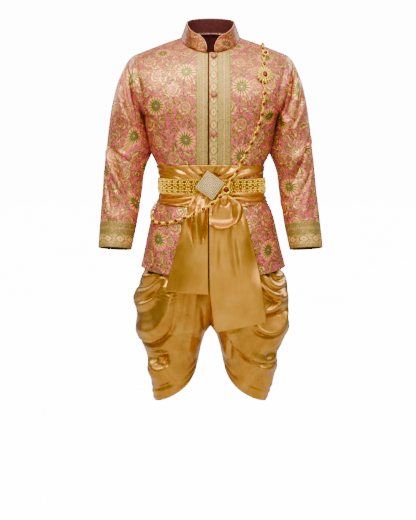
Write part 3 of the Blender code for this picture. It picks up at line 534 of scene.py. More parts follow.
# A woven border by its distance from the cloth's edge in millimetres: plain stripes with fine
# pinstripes, a line of beads, and a row of framed medallions with a small round between each two.
MEDALLION_EVERY, MEDALLION_LONG, MEDALLION_WIDE = 0.037, 0.014, 0.0105
MEDALLION_SHADES = (
    (0.0, "#B83C1C"), (0.24, "#FFDC6C"), (0.46, "#E87038"), (0.6, "#FFDC6C"), (0.78, "#4E5424"),
)
BEAD_EVERY, BEAD_RADIUS = 0.0062, 0.0021
PIN_EVERY, PIN_WIDE, PIN_SHADE, BEAD_SHADE = 0.0042, 0.0016, "#7C6A30", "#F8C060"
LEFT_BORDER = {
    "wide": 67, "beads": 47.5, "medallions": 16, "pins": (27, 67), "figured": ((3, 66, "fine"),),
    "stripes": (
        (0, "#3A1408"), (2.4, "#B04824"), (4.4, "#E6BC64"), (26, "#8A7434"), (28.5, "#CCB058"),
        (45, "#DC8048"), (49.5, "#C8AE58"), (64, "#8A7834"),
    ),
}
RIGHT_BORDER = {
    "wide": 35, "beads": 15, "medallions": None, "pins": (2, 35), "figured": ((2, 35, "fine"),),
    "stripes": ((0, "#4A2410"), (2, "#C8AE58"), (13, "#DC8048"), (17, "#CCB058"), (32, "#8A7834")),
}
BORDER_FIGURES = {
    "fine": (0.0031, 0.0019, 0.0009, 0.0003, 0.8, ("cream", "olive", "gold", "olive", "orange", "dark")),
    "broad": (0.007, 0.0042, 0.0017, 0.0012, 0.9, ("cream", "green", "gold", "cream", "orange", "green")),
}
BORDER_COLOURS = {
    "gold": "#E0A23C", "cream": "#FFE08A", "green": "#4E5424", "olive": "#8A7C34", "orange": "#E8784A",
    "dark": "#6A5824",
}


def add_border(add, spot, colour, covered, border):
    """Lays a border over a pattern along the edge that the map of that name measures from."""
    edge = add("SeparateXYZ", add("UVMap edge")[0])
    wide, (pins_from, pins_to) = border["wide"], border["pins"]
    share = add("Math MULTIPLY", edge[0], 1000 / wide)[0]
    laid = add("ValToRGB", share, stops=[(at / wide, shade) for at, shade in border["stripes"]])[0]
    pin = add("Math PINGPONG", edge[0], PIN_EVERY / 2)[0]
    pin = add("Math LESS_THAN", pin, PIN_WIDE / 2)[0]
    pinned = (0, 0.0), (pins_from / wide, 0.8), (pins_to / wide, 0.0)
    pinned = add("ValToRGB", share, stops=pinned)[0]
    pin = add("Math MULTIPLY", pin, pinned)[0]
    laid = add("Mix RGBA", {0: pin, 6: laid, 7: PIN_SHADE})[2]
    for start, end, figure in border["figured"]:
        drawn = add_leaves(add, spot, laid, 0.0, BORDER_FIGURES[figure], BORDER_COLOURS)[0]
        after = add("Math GREATER_THAN", edge[0], start / 1000)[0]
        before = add("Math LESS_THAN", edge[0], end / 1000)[0]
        within = add("Math MULTIPLY", after, before)[0]
        within = add("Math MULTIPLY", within, 0.62)[0]
        laid = add("Mix RGBA", {0: within, 6: laid, 7: drawn})[2]
    if border["beads"]:
        up = add("Math PINGPONG", edge[1], BEAD_EVERY / 2)[0]
        off = add("Math SUBTRACT", edge[0], border["beads"] / 1000)[0]
        far = add("VectorMath LENGTH", add("CombineXYZ", off, up)[0])[1]
        bead = add("Math LESS_THAN", far, BEAD_RADIUS)[0]
        laid = add("Mix RGBA", {0: bead, 6: laid, 7: BEAD_SHADE})[2]
    if border["medallions"]:
        for shift, scale in ((0.0, 1.0), (MEDALLION_EVERY / 2, 0.42)):
            up = add("Math ADD", edge[1], shift)[0]
            up = add("Math PINGPONG", up, MEDALLION_EVERY / 2)[0]
            up = add("Math MULTIPLY", up, 1 / (MEDALLION_LONG * scale))[0]
            off = add("Math SUBTRACT", edge[0], border["medallions"] / 1000)[0]
            off = add("Math ABSOLUTE", off)[0]
            off = add("Math MULTIPLY", off, 1 / (MEDALLION_WIDE * scale))[0]
            square = add("Math ADD", up, off)[0]
            round_ = add("VectorMath LENGTH", add("CombineXYZ", off, up)[0])[1]
            shape = add("Math ADD", square, round_)[0]
            shape = add("Math MULTIPLY", shape, 0.46)[0]
            medal = add("ValToRGB", shape, stops=MEDALLION_SHADES)[0]
            within = add("Math LESS_THAN", shape, 1.0)[0]
            laid = add("Mix RGBA", {0: within, 6: laid, 7: medal})[2]
    inside = add("Math LESS_THAN", edge[0], wide / 1000)[0]
    bare = add("Math SUBTRACT", 1.0, inside)[0]
    low = add("Math MULTIPLY", inside, 0.6)[0]
    covered = add("Math MULTIPLY_ADD", covered, bare, low)[0]
    return add("Mix RGBA", {0: inside, 6: colour, 7: laid})[2], covered


def make_brocade(name, border=None, colours=PINK_BROCADE):
    """Brocade: a soft satin glow on the ground, and brighter, raised gold weft that catches light."""
    material, add, shader = begin_material(name, specular_ior_level=0.2)
    spot = add("UVMap cloth")[0]
    colour, covered = brocade_pattern(add, spot, colours)
    if border:
        colour, covered = add_border(add, spot, colour, covered, border)
    ribs = add("TexWave DIAGONAL", {0: spot, "Scale": 0.314 / 0.0012})[1]
    height = add("Math MULTIPLY_ADD", ribs, 0.25, covered)[0]
    bump = add("Bump", {"Strength": 0.35, "Distance": 0.0006, "Height": height})[0]
    rough = add("MapRange", {0: covered, 3: 0.55, 4: 0.4})[0]
    shine = add("MapRange", {0: covered, 3: 0.25, 4: 0.7})[0]
    threads = add("TexNoise 2D", {0: spot, "Scale": 700.0, "Detail": 2.0})[0]
    threads = add("ValToRGB", threads, stops=((0.3, 0.62), (0.7, 1.0)), soft=True)[0]
    colour = add("Mix RGBA", {0: 1.0, 6: colour, 7: threads}, blend_type="MULTIPLY")[2]
    wire(shader, base_color=colour, metallic=shine, roughness=rough, normal=bump)
    return material


def make_lining():
    """Polyester taffeta: a dark red-brown plain weave with a slight, uneven shine."""
    material, add, shader = begin_material("taffeta lining", sheen_weight=0.1)
    spot = add("UVMap cloth")[0]
    uneven = add("TexNoise 2D", {0: spot, "Scale": 90.0, "Detail": 3.0})[0]
    colour = add("ValToRGB", uneven, stops=((0.3, "#3C0E0A"), (0.7, "#581810")), soft=True)[0]
    weave = add("TexWave", {0: spot, "Scale": 0.314 / 0.001})[1]
    bump = add("Bump", {"Strength": 0.2, "Distance": 0.0002, "Height": weave})[0]
    rough = add("MapRange", {0: weave, 3: 0.42, 4: 0.55})[0]
    wire(shader, base_color=colour, roughness=rough, normal=bump)
    return material


PLAIN_CLOTH = make_brocade("brocade")
LINING = make_lining()


def panel(rows, across, creases, back=False):
    """A stretch of the jacket with its creases, which die away towards the armholes and the seams."""
    grid = jacket(rows, across, back)
    clear = ease((1 - np.abs(across)) / 0.05)
    return grid + (relief(grid[..., 0], grid[..., 2], creases) * clear)[..., None] * normals(grid)


def sewn(grid, *columns):
    """The grid with its first or last columns sunk a little into the groove of a pressed seam."""
    facing = normals(grid)
    for column in columns:
        grid[:, column] -= SEAM_SUNK * facing[:, column]
    return grid


def make_jacket_body():
    rows = np.linspace(0, HEM, JACKET_ROWS)[:, None]
    level = int(np.argmin(abs(rows[:, 0] - UNDERARM)))
    edge = across_at(rows, FRONT_EDGE_X)
    share = np.linspace(0, 1, SIDE_COLUMNS + 1)[None, :]
    pieces = []

    left = sewn(panel(rows, edge + (1 - edge) * share, LEFT_FRONT_CREASES), -1)
    flat = laid_flat(left, 0, level)
    maps = {"cloth": flat - LEFT_ROSETTE, "edge": flat}
    outside = make_brocade("bordered brocade, left front", LEFT_BORDER)
    pieces.append(("jacket_front_left", left, maps, outside, (0.31, 0.71), 0.192))

    lap = np.linspace(0, 1, LAP_COLUMNS + 1)[None, 1:]
    lap = across_at(rows, FRONT_EDGE_X + (UNDERLAP_X - FRONT_EDGE_X) * lap)
    right = panel(rows, np.concatenate([-1 + (edge + 1) * share, lap], axis=1), RIGHT_FRONT_CREASES)
    under = ease((right[..., 0] - FRONT_EDGE_X + UNDERLAP_START) / UNDERLAP_STEP)
    right = sewn(right - (BROCADE + 2 * SEAM) * under[..., None] * normals(right), 0)
    flat = laid_flat(right, SIDE_COLUMNS, level)
    maps = {"cloth": flat - RIGHT_ROSETTE, "edge": flat * [-1, 1]}
    outside = make_brocade("bordered brocade, right front", RIGHT_BORDER)
    pieces.append(("jacket_front_right", right, maps, outside, (0.33, 0.71), 0.204))

    for side, start, end, home in (("left", 1, 0, -1), ("right", 0, -1, 0)):
        across = np.linspace(start, end, BACK_COLUMNS + 1)[None, :]
        half = sewn(panel(rows, across, BACK_CREASES, back=True), 0, -1)
        maps = {"cloth": laid_flat(half, home, level) - BACK_ROSETTE}
        pieces.append(("jacket_back_" + side, half, maps, PLAIN_CLOTH, (0.29, 0.76), 0.183))

    for node, grid, maps, outside, flat, area in pieces:
        piece = cloth(node + "_cloth", grid, maps, BROCADE, (outside, LINING))
        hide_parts(node)


make_jacket_body()

# ------------------------------------------------------------------------------ sleeves
# Long tailored sleeves of the same brocade, set in at the armholes and cut so that the cloth's woven
# border runs round each cuff. A red-brown taffeta lining shows at the wrists.

# A sleeve, one row for each ring after the armhole: its outer and inner points seen from the front,
# the middle of its depth, its half depth, how far the ring is pitched forward, in degrees, and how
# far it still has the armhole's shape.
SLEEVE = table(
    "outer_x outer_z inner_x inner_z middle_y half_depth *pitch *blend",
    (254, -81, 202.7, -249.5, 2, 66, 0, 0.85),
    (269, -108, 202.2, -254, 1, 68, 0, 0.55),
    (286, -152, 200.6, -263, 0, 70, 0, 0.2),
    (298, -208, 197.4, -278, 0, 70, 0, 0),
    (307, -262, 193.6, -296, 1, 69, 0, 0),
    (313, -308, 189.4, -319, 3, 68, 0, 0),
    (319, -352, 182.3, -353, 4, 67, 2, 0),
    (323, -386, 196.5, -386, 4, 66, 4, 0),
    (326, -420, 206, -420, 1, 64, 6, 0),
    (329, -464, 211, -466, -6, 61, 8, 0),
    (333, -512, 219, -515, -17, 58, 9, 0),
    (336, -560, 226, -563, -30, 56, 10, 0),
    (339, -604, 235, -608, -43, 53, 11, 0),
    (340, -637, 242, -642, -53, 51, 12, 0),
)
ARMHOLE_GAP, UNDERARM_GAP = 0.0022, 0.0024
LEFT_SLEEVE_SLIM = 0.008
ARMHOLE_LINES = (4, 4.6, 5.3, 6, 6.8, 7.6, 8.4, 9)
SLEEVE_ROWS, SLEEVE_COLUMNS = 178, 130

# A sleeve's folds go by degrees round it: 0 at the outer side, 90 behind and 270 in front. An arc
# turns a degree to metres.
SLEEVE_ARC = 0.0011
ROUND_CREASES = CREASE_COLUMNS.replace("across", "*across")
ROUND_DRAPES = DRAPE_COLUMNS.replace("across", "*across")
LEFT_SLEEVE_FOLDS = table(
    ROUND_CREASES,
    (300, -150, 265, -250, 215, -330, 24, 24, 5),
    (345, -260, 300, -330, 235, -400, 22, 22, 4),
    (150, -345, 190, -365, 250, -350, 16, 16, -1),
    (60, -140, 90, -240, 140, -330, 26, 26, 5),
    (20, -400, 70, -470, 130, -500, 24, 24, 4),
)
RIGHT_SLEEVE_FOLDS = table(
    ROUND_CREASES,
    (305, -170, 270, -280, 220, -350, 24, 24, 5),
    (340, -320, 290, -380, 235, -430, 22, 22, 4),
    (150, -350, 195, -372, 245, -355, 16, 16, -1),
    (50, -160, 95, -260, 140, -340, 26, 26, 5),
    (15, -430, 60, -490, 120, -520, 24, 24, 4),
)
LEFT_SLEEVE_CREASES = table(
    ROUND_CREASES,
    (330, -90, 296, -170, 256, -270, 8, 9, 7),
    (316, -92, 282, -160, 244, -250, 7, 7, -6),
    (5, -150, 320, -240, 280, -330, 9, 11, 5.5),
    (350, -300, 310, -350, 262, -372, 8, 12, 7),
    (340, -318, 305, -362, 270, -382, 7, 7, -6),
    (320, -400, 285, -440, 240, -455, 9, 12, 3.2),
    (10, -480, 320, -520, 280, -530, 10, 12, 2.2),
    (40, -250, 95, -290, 150, -330, 10, 12, 3.6),
    (60, -330, 110, -372, 170, -385, 10, 12, 3.6),
    (30, -420, 80, -460, 140, -470, 10, 12, 2.6),
    (120, -140, 110, -200, 85, -250, 12, 12, 3.4),
)
RIGHT_SLEEVE_CREASES = table(
    ROUND_CREASES,
    (326, -90, 292, -160, 254, -270, 8, 9, 7),
    (312, -94, 280, -160, 244, -250, 7, 7, -6),
    (345, -318, 300, -338, 262, -352, 9, 10, -5),
    (338, -336, 316, -368, 286, -410, 9, 13, 5),
    (296, -402, 272, -440, 244, -492, 9, 10, 8),
    (304, -424, 284, -452, 264, -482, 7, 7, -7),
    (15, -500, 330, -540, 290, -548, 10, 12, 2),
    (45, -240, 100, -300, 150, -345, 10, 12, 3.6),
    (55, -345, 105, -390, 165, -400, 10, 12, 3.6),
    (25, -430, 75, -475, 135, -490, 10, 12, 2.6),
    (125, -145, 112, -205, 88, -255, 12, 12, 3.4),
)
LEFT_SLEEVE_DRAPES = table(
    ROUND_DRAPES,
    (318, -98, 278, -180, 226, -275, 4.6, 8.5, 12),
    (300, -88, 262, -150, 232, -215, 3.6, 6, 8),
    (338, -150, 296, -250, 232, -325, 4.4, 7, 8),
    (212, -452, 281, -378, 326, -285, 5.8, 10, 15),
    (345, -365, 306, -440, 262, -500, 4, 4.5, 4.5),
    (310, -440, 280, -500, 262, -545, 5, 4, 3.5),
    (60, -150, 96, -250, 150, -330, 5, 7, 6),
    (150, -450, 90, -380, 40, -300, 5, 8, 9),
)
RIGHT_SLEEVE_DRAPES = table(
    ROUND_DRAPES,
    (304, -90, 276, -170, 232, -262, 4.8, 8.5, 13),
    (330, -110, 290, -215, 240, -300, 4.4, 6.5, 8),
    (246, -376, 290, -344, 338, -320, 4.6, 4, 11),
    (332, -330, 300, -398, 242, -502, 5.8, 10, 13),
    (306, -420, 276, -470, 256, -510, 4, 3.5, 5),
    (345, -400, 320, -470, 300, -530, 5, 4, 3.5),
    (55, -160, 96, -260, 150, -340, 5, 7, 6),
    (145, -460, 92, -390, 42, -310, 5, 8, 9),
)
CUFF_BORDER = {
    "wide": 77, "beads": None, "medallions": 26, "pins": (38, 77),
    "figured": ((0, 77, "fine"), (13.5, 38, "broad")),
    "stripes": (
        (0, "#A08C38"), (11, "#F09860"), (13.5, "#E8A848"), (38, "#8A8034"), (56, "#E8884A"),
        (61, "#8A8034"), (75, "#DCA048"),
    ),
}
FOLDS_GROW, CREASES_GROW, DRAPES_GROW = 3, 2, 1.5
PRESSED, PRESSED_EASE, PRESSED_TO = 60, 25, 7.5
LEFT_SLEEVE_ROSETTE = np.array([0.155, 0.3])
RIGHT_SLEEVE_ROSETTE = np.array([0.15, 0.33])


def mirrored(grid):
    """The grid on the other side of the body, its columns turned round so that it still faces out."""
    return grid[:, ::-1] * [-1, 1, 1]


def sleeve(folds, creases, crisp, slim):
    """The left sleeve, ring by ring from the armhole to the cuff, each from its outer point back."""
    lines = np.interp(np.linspace(0, 7, SLEEVE_COLUMNS // 2 + 1), np.arange(8), ARMHOLE_LINES)[:, None]
    edge = np.ones((1, 1))
    front, rear = jacket(lines, edge)[:, 0], jacket(lines, edge, back=True)[:, 0]
    armhole = np.concatenate([rear[:-1], front[:0:-1]])
    middle = (armhole[0] + armhole[len(rear) - 1]) / 2
    angle = 2 * math.pi * np.arange(len(armhole)) / len(armhole)
    low = (1 - np.cos(angle))[:, None] / 2
    rings = [armhole]
    for outer_x, outer_z, inner_x, inner_z, middle_y, half_depth, pitch, blend in zip(*SLEEVE.values()):
        taken_in = slim * math.sin(math.pi * outer_z / SLEEVE["outer_z"][-1])
        outer = np.array([outer_x - taken_in, middle_y, outer_z])
        inner = np.array([inner_x, middle_y, inner_z])
        centre, reach = (outer + inner) / 2, (outer - inner) / 2
        lean = math.radians(pitch)
        depth = np.array([0, math.cos(lean), -math.sin(lean)]) * half_depth
        ring = centre + np.cos(angle)[:, None] * reach + np.sin(angle)[:, None] * depth
        ring = ring * (1 - blend) + (armhole - middle + centre) * blend
        rings.append(ring + low**2 * (inner - ring[len(rear) - 1]))
    rings[0] = armhole + (ARMHOLE_GAP + (UNDERARM_GAP - ARMHOLE_GAP) * low) * unit(rings[1] - armhole)
    at = np.linspace(0, len(rings) - 1, SLEEVE_ROWS)
    grid = curve(np.array(rings), at)
    around = np.degrees(angle) * SLEEVE_ARC
    lift = 0
    for shape, curves, start, grow in (
        (relief, folds, 1, FOLDS_GROW), (relief, creases, 0, CREASES_GROW), (drapes, crisp, 0, DRAPES_GROW)
    ):
        high = shape(around, grid[..., 2], round_folds(curves, SLEEVE_ARC))
        lift = lift + high * ease((at - start) / grow)[:, None]
    pressed = ease((PRESSED - np.abs(np.degrees(angle) - 180)) / PRESSED_EASE)
    pressed = pressed * ease(PRESSED_TO - at)[:, None]
    grid = grid + (lift * (1 - pressed))[..., None] * normals(grid, wraps=True)
    return np.roll(grid, -len(armhole) // 2, axis=1)


def make_sleeves():
    outside = make_brocade("bordered brocade, sleeves", CUFF_BORDER)
    left = sleeve(LEFT_SLEEVE_FOLDS, LEFT_SLEEVE_CREASES, LEFT_SLEEVE_DRAPES, LEFT_SLEEVE_SLIM)
    right = mirrored(sleeve(RIGHT_SLEEVE_FOLDS, RIGHT_SLEEVE_CREASES, RIGHT_SLEEVE_DRAPES, 0))
    for side, grid, rosette in (("left", left, LEFT_SLEEVE_ROSETTE), ("right", right, RIGHT_SLEEVE_ROSETTE)):
        closed = np.concatenate([grid, grid[:, :1]], axis=1)
        flat = laid_flat(closed, 0, -1)
        maps = {"cloth": flat - rosette, "edge": flat[..., ::-1]}
        piece = cloth(f"sleeve_{side}_cloth", grid, maps, BROCADE, (outside, LINING), wraps=True)
        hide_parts(f"sleeve_{side}")


make_sleeves()

# ------------------------------------------------------------------------------ collar
# A low standing collar of a deep red-brown brocade over stiff interfacing, set on the neckline seam,
# with two rounded front corners and a narrow peach piping sewn along its upper edge.
COLLAR_CLOTH = 0.0028
COLLAR_HEIGHT, COLLAR_LEAN_IN = 0.043, 0.016
COLLAR_CORNER, COLLAR_CORNER_FOOT = 0.034, 0.006
COLLAR_GAP = 0.012
COLLAR_CLEAR = BROCADE + 5 * SEAM
COLLAR_COLUMNS, COLLAR_CORNER_COLUMNS, COLLAR_ROWS = 60, 24, 14
PIPING_RADIUS = 0.001
COLLAR_TUCK = 0.0015
COLLAR_PATTERN, COLLAR_SHIFT = 1.5, np.array([0.02, 0.046])
BROWN_BROCADE = {
    "ground": "#A02C16", "deep": "#74200F", "gold": "#8E5C20", "cream": "#A87630", "green": "#45401A",
    "olive": "#66561F", "dark": "#2C140A", "orange": "#B03048", "rust": "#6E2014", "eye": "#B83A4C",
    "disc": "#5C4A1C", "petal": "#B88438",
}


def at_stops(stops, line):
    """Points of a line at chosen lengths along it."""
    run = run_along(line[:, None, :3], 0)[:, 0]
    return np.stack([np.interp(stops, run, line[:, k]) for k in range(line.shape[1])], axis=-1)


def collar_grid():
    """Its inner face, row by row from the upper edge to the foot, round from the right front corner."""
    out, home = np.linspace(0, 1, 81), np.linspace(1, 0, 81)[1:]
    half, lower = (np.concatenate([jacket(line, out), jacket(line, home, back=True)]) for line in (0, 0.1))
    corner = COLLAR_GAP + COLLAR_CORNER * np.linspace(0, 1, COLLAR_CORNER_COLUMNS + 1) ** 1.6
    length = run_along(half[:, None], 0)[-1, 0]
    stops = np.concatenate([corner, np.linspace(corner[-1], length, COLLAR_COLUMNS + 1)[1:]])
    left, under = at_stops(stops, half), at_stops(stops, lower)
    facing = normals(np.array([left, under]))[0]
    seam = np.concatenate([left, left[-2::-1] * [-1, 1, 1]])
    off = np.minimum((stops - COLLAR_GAP) / COLLAR_CORNER, 1)
    tall = COLLAR_CORNER_FOOT + (COLLAR_HEIGHT - COLLAR_CORNER_FOOT) * np.sqrt(1 - (1 - off) ** 2)
    tall = np.concatenate([tall, tall[-2::-1]])
    outward = unit(seam * [1, 1, 0])
    foot = seam + COLLAR_CLEAR * np.concatenate([facing, facing[-2::-1] * [-1, 1, 1]])
    share = np.linspace(1, 0, COLLAR_ROWS + 1)[:, None]
    up = points_of(0, 0, tall * share)
    stand = foot + up - outward * (COLLAR_LEAN_IN * share * tall / COLLAR_HEIGHT)[..., None]
    tucked = seam - COLLAR_TUCK * outward - [0, 0, COLLAR_TUCK]
    return np.concatenate([stand, (foot[None] + tucked) / 2, tucked[None]])


def make_piping_cloth():
    """Bias-cut peach satin: a soft sheen with fine slanting stitches across it."""
    material, add, shader = begin_material("peach piping", sheen_weight=0.2, roughness=0.4)
    spot = add("TexCoord")["Object"]
    stitches = add("TexWave DIAGONAL", {0: spot, "Scale": 0.314 / 0.0014})[1]
    colour = add("ValToRGB", stitches, stops=((0.1, "#D07848"), (0.6, "#F09A68")), soft=True)[0]
    bump = add("Bump", {"Strength": 0.4, "Distance": 0.0003, "Height": stitches})[0]
    wire(shader, base_color=colour, normal=bump)
    return material


def choose(*pieces):
    """Selects these pieces and no others, with the first one active."""
    bpy.ops.object.select_all(action="DESELECT")
    for piece in pieces:
        piece.select_set(True)
    bpy.context.view_layer.objects.active = pieces[0]


def dressed(piece, *materials):
    """The piece with these materials and no others."""
    piece.data.materials.clear()
    for material in materials:
        piece.data.materials.append(material)
    return piece


def make_tube(name, line, radius, material, closed=False, sides=3):
    """A cord of even thickness along a line of points, as a mesh."""
    data = bpy.data.curves.new(name, "CURVE")
    data.dimensions = "3D"
    data.bevel_depth = radius
    data.bevel_resolution = sides
    data.use_fill_caps = not closed
    spline = data.splines.new("POLY")
    spline.points.add(len(line) - 1)
    for point, at in zip(spline.points, line):
        point.co = (*at, 1)
    spline.use_cyclic_u = closed
    choose(put(name, data))
    bpy.ops.object.convert(target="MESH")
    piece = dressed(bpy.context.object, material)
    piece.data.shade_smooth()
    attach(piece, "root")
    return piece


def make_collar():
    grid = collar_grid()
    maps = {"cloth": COLLAR_PATTERN * laid_flat(grid, len(grid[0]) // 2, -1) + COLLAR_SHIFT}
    outside = make_brocade("brown brocade", colours=BROWN_BROCADE)
    piece = cloth("collar_cloth", grid, maps, COLLAR_CLOTH, (outside, LINING))
    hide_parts("collar")
    edge = grid[0] + COLLAR_CLOTH / 2 * normals(grid)[0] + [0, 0, PIPING_RADIUS / 2]
    piping = make_tube("collar_piping", edge, PIPING_RADIUS, make_piping_cloth())


make_collar()

# ------------------------------------------------------------------------------ buttons
# Three buttons down the overlap, each a dome covered in salmon satin, gathered in at its edge and
# ringed by a thin peach cord.
BUTTON_RADIUS, BUTTON_TALL = 0.01, 0.0075
BUTTON_X = 0.009
BUTTON_HEIGHTS = (-0.066, -0.178, -0.291)
BUTTON_OFF = BROCADE + 3 * SEAM


def make_button_cloth():
    """Salmon satin with a painted highlight on the dome's top and painted shade, browner, towards its
    gathered edge.
    """
    material, add, shader = begin_material("salmon satin", sheen_weight=0.05, roughness=0.34)
    spot = add("UVMap UVMap")[0]
    down = add("SeparateXYZ", spot)
    # Painted light: browner in shade at the dome's edge, lightest as a painted highlight on its top.
    painted_light = (0.42, "#2A1208"), (0.6, "#7A3018"), (0.86, "#AC5830")
    colour = add("ValToRGB", down[1], stops=painted_light, soft=True)[0]
    pleats = add("TexWave X", {0: spot, "Scale": 14.0, "Distortion": 0.6})[1]
    bump = add("Bump", {"Strength": 0.25, "Distance": 0.0003, "Height": pleats})[0]
    wire(shader, base_color=colour, normal=bump)
    return material


def settle(piece):
    """Places the piece's shape in its mesh, with its origin at the world's, and lets it ride."""
    choose(piece)
    bpy.ops.object.transform_apply()
    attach(piece, "root")


def edit(operator, **settings):
    """Runs an operator over the whole mesh of the active piece."""
    bpy.ops.object.mode_set(mode="EDIT")
    bpy.ops.mesh.select_all(action="SELECT")
    operator(**settings)
    bpy.ops.object.mode_set(mode="OBJECT")


def make_buttons():
    satin, cord = make_button_cloth(), make_piping_cloth()
    for number, height in enumerate(BUTTON_HEIGHTS, start=1):
        at, facing = (Vector(v) for v in lying_on(BUTTON_X, height, BUTTON_OFF))
        turn = facing.to_track_quat("Z", "Y").to_euler()
        bpy.ops.mesh.primitive_uv_sphere_add(
            segments=32, ring_count=20, radius=1, location=at + facing * 0.0012, rotation=turn,
            scale=(BUTTON_RADIUS, BUTTON_RADIUS, BUTTON_TALL - 0.0012),
        )
        dome = bpy.context.object
        dome.name = f"button_{number}_dome"
        edit(bpy.ops.mesh.bisect, plane_co=at, plane_no=facing, clear_inner=True, use_fill=True)
        bpy.ops.object.shade_smooth_by_angle(angle=math.radians(40))
        settle(dressed(dome, satin))
        bpy.ops.mesh.primitive_torus_add(
            major_segments=36, minor_segments=8, major_radius=BUTTON_RADIUS - 0.0006, minor_radius=0.0008,
            location=at + facing * 0.0012, rotation=turn,
        )
        rim = bpy.context.object
        rim.name = f"button_{number}_cord"
        bpy.ops.object.shade_smooth()
        settle(dressed(rim, cord))
        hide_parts(f"button_{number}")


make_buttons()

# ------------------------------------------------------------------------------ trousers
# Draped trousers of deep gold satin. Each leg is cut very full and caught up in folds, so that broad
# swags hang in front and behind, and it is gathered in to a narrow hem below the knee.
SATIN = 0.0014

# A trouser leg, one row for each ring from the waist to the hem. Where inner_x is negative the ring
# stops at the centre seam, so the two legs share one seat down to the fork.
LEG = table(
    "outer_x outer_z inner_x inner_z front_y back_y *droop",
    (146, -455, -147, -455, -104, 83, 1),
    (150, -510, -148, -510, -108, 88, 1),
    (170, -570, -140, -570, -117, 97, 1),
    (185, -625, -124, -625, -122, 105, 1),
    (197, -675, -106, -675, -127, 112, 1),
    (207, -708, -94, -708, -131, 120, 1),
    (219, -735, -84, -735, -134, 126, 1),
    (228, -765, -66, -762, -136, 131, 1),
    (236, -800, -44, -798, -134, 133, 1),
    (236, -845, -22, -842, -130, 130, 1),
    (229, -890, -4, -880, -122, 124, 0.9),
    (220, -930, 16, -908, -112, 115, 0.8),
    (206, -968, 24, -930, -103, 106, 0.7),
    (198, -1004, 30, -950, -94, 97, 0.65),
    (193, -1042, 36, -970, -85, 88, 0.6),
    (185, -1083, 42, -992, -77, 80, 0.52),
    (175, -1123, 48, -1012, -70, 72, 0.46),
)
LEFT_LEG_FULLER, RIGHT_LEG_FULLER = 0.007, -0.004
FULL_FROM, FULL_TO, FULL_EASE = -0.66, -1.12, 0.06
FOLDS_FROM, FOLDS_EASE = -0.695, 0.03
INSEAM_PLAIN, INSEAM_EASE = 4, 30
LEAST_ANGLE, SIDE_EASE = 0.003, 0.25
LEG_ROWS, LEG_COLUMNS = 172, 208

# The main folds go by degrees round the left leg, or round the right one mirrored: 0 at the inseam,
# 90 in front, 180 outside and 270 behind.
LEG_ARC = 0.0021
LEFT_LEG_FOLDS = table(
    ROUND_CREASES,
    (104, -705, 136, -835, 176, -710, 18, 20, 15),
    (124, -720, 142, -775, 166, -720, 16, 16, -8),
    (165, -700, 210, -840, 250, -700, 24, 22, 14),
    (70, -870, 116, -965, 240, -840, 22, 22, 21),
    (86, -820, 126, -890, 220, -800, 22, 22, -9),
    (40, -930, 92, -1040, 236, -1010, 20, 18, 15),
    (78, -965, 120, -1000, 190, -960, 18, 18, -14),
    (190, -950, 226, -975, 262, -950, 22, 22, -12),
)
RIGHT_LEG_FOLDS = table(
    ROUND_CREASES,
    (92, -720, 128, -880, 240, -740, 22, 22, 18),
    (104, -760, 134, -810, 206, -760, 18, 18, -9),
    (70, -830, 110, -985, 240, -850, 22, 22, 22),
    (84, -840, 126, -895, 214, -820, 20, 20, -9),
    (54, -975, 106, -1060, 232, -1010, 20, 18, 15),
    (80, -985, 116, -1010, 172, -985, 20, 20, -16),
    (196, -960, 226, -985, 262, -955, 22, 22, -12),
)

# The crisp folds of each leg go by x as on the left leg, and then its soft ones and its hollows, where
# the gathered cloth falls in.
LEFT_LEG_DRAPES = table(
    DRAPE_COLUMNS,
    (140, -722, 174, -800, 236, -784, 6, 12, 8),
    (158, -706, 195, -782, 234, -740, 5.5, 10, 7),
    (179, -700, 207, -750, 231, -712, 4.5, 7, 5),
    (236, -776, 198, -818, 155, -830, 5, 7, 5),
    (128, -855, 187, -930, 242, -824, 6, 11, 13),
    (56, -900, 126, -998, 208, -980, 6, 9, 8),
    (155, -950, 184, -942, 214, -924, 5, 6, 6),
    (64, -1030, 106, -1086, 155, -1089, 3.6, 3.5, 3.5),
    (56, -978, 56, -942, 52, -900, 5, 5, 4),
)
LEFT_LEG_SOFT = table(
    CREASE_COLUMNS,
    (124, -858, 187, -924, 244, -828, 14, 20, 16),
    (143, -826, 184, -866, 236, -822, 15, 13, -14),
    (162, -976, 186, -974, 208, -954, 12, 10, -15),
    (150, -1004, 178, -1010, 204, -990, 10, 14, 7),
    (200, -775, 215, -768, 228, -758, 10, 10, -6),
    (74, -880, 120, -960, 190, -1010, 26, 24, 10),
    (36, -840, 64, -930, 120, -1060, 10, 10, 5),
    (60, -850, 86, -930, 130, -1000, 9, 9, -4),
    (30, -900, 50, -980, 90, -1060, 8, 8, 3.4),
)
RIGHT_LEG_DRAPES = table(
    DRAPE_COLUMNS,
    (231, -822, 170, -797, 128, -731, 6.5, 12, 10),
    (233, -780, 182, -770, 143, -716, 6, 8, 7),
    (119, -850, 153, -936, 226, -912, 6.5, 12, 15),
    (120, -950, 157, -926, 193, -953, 4.5, 5, 8),
    (194, -985, 160, -1040, 116, -976, 6, 13, 8),
    (38, -800, 26, -896, 36, -948, 6, 4, 4),
    (117, -1030, 145, -1058, 178, -1064, 6, 4.5, 4),
    (62, -1022, 96, -1078, 150, -1092, 3.6, 3.5, 3.5),
)
RIGHT_LEG_SOFT = table(
    CREASE_COLUMNS,
    (228, -880, 132, -912, 115, -745, 20, 17, 23),
    (210, -736, 182, -722, 150, -706, 12, 12, 11),
    (234, -836, 176, -826, 146, -745, 18, 14, -13),
    (176, -962, 180, -976, 172, -992, 15, 15, -19),
    (141, -958, 139, -976, 145, -992, 14, 14, -19),
    (190, -1010, 160, -1060, 120, -1010, 10, 16, 8),
    (64, -720, 82, -850, 112, -1020, 10, 10, 5),
    (40, -700, 46, -820, 70, -960, 8, 8, 3.6),
    (96, -730, 106, -830, 118, -900, 8, 8, -4),
)
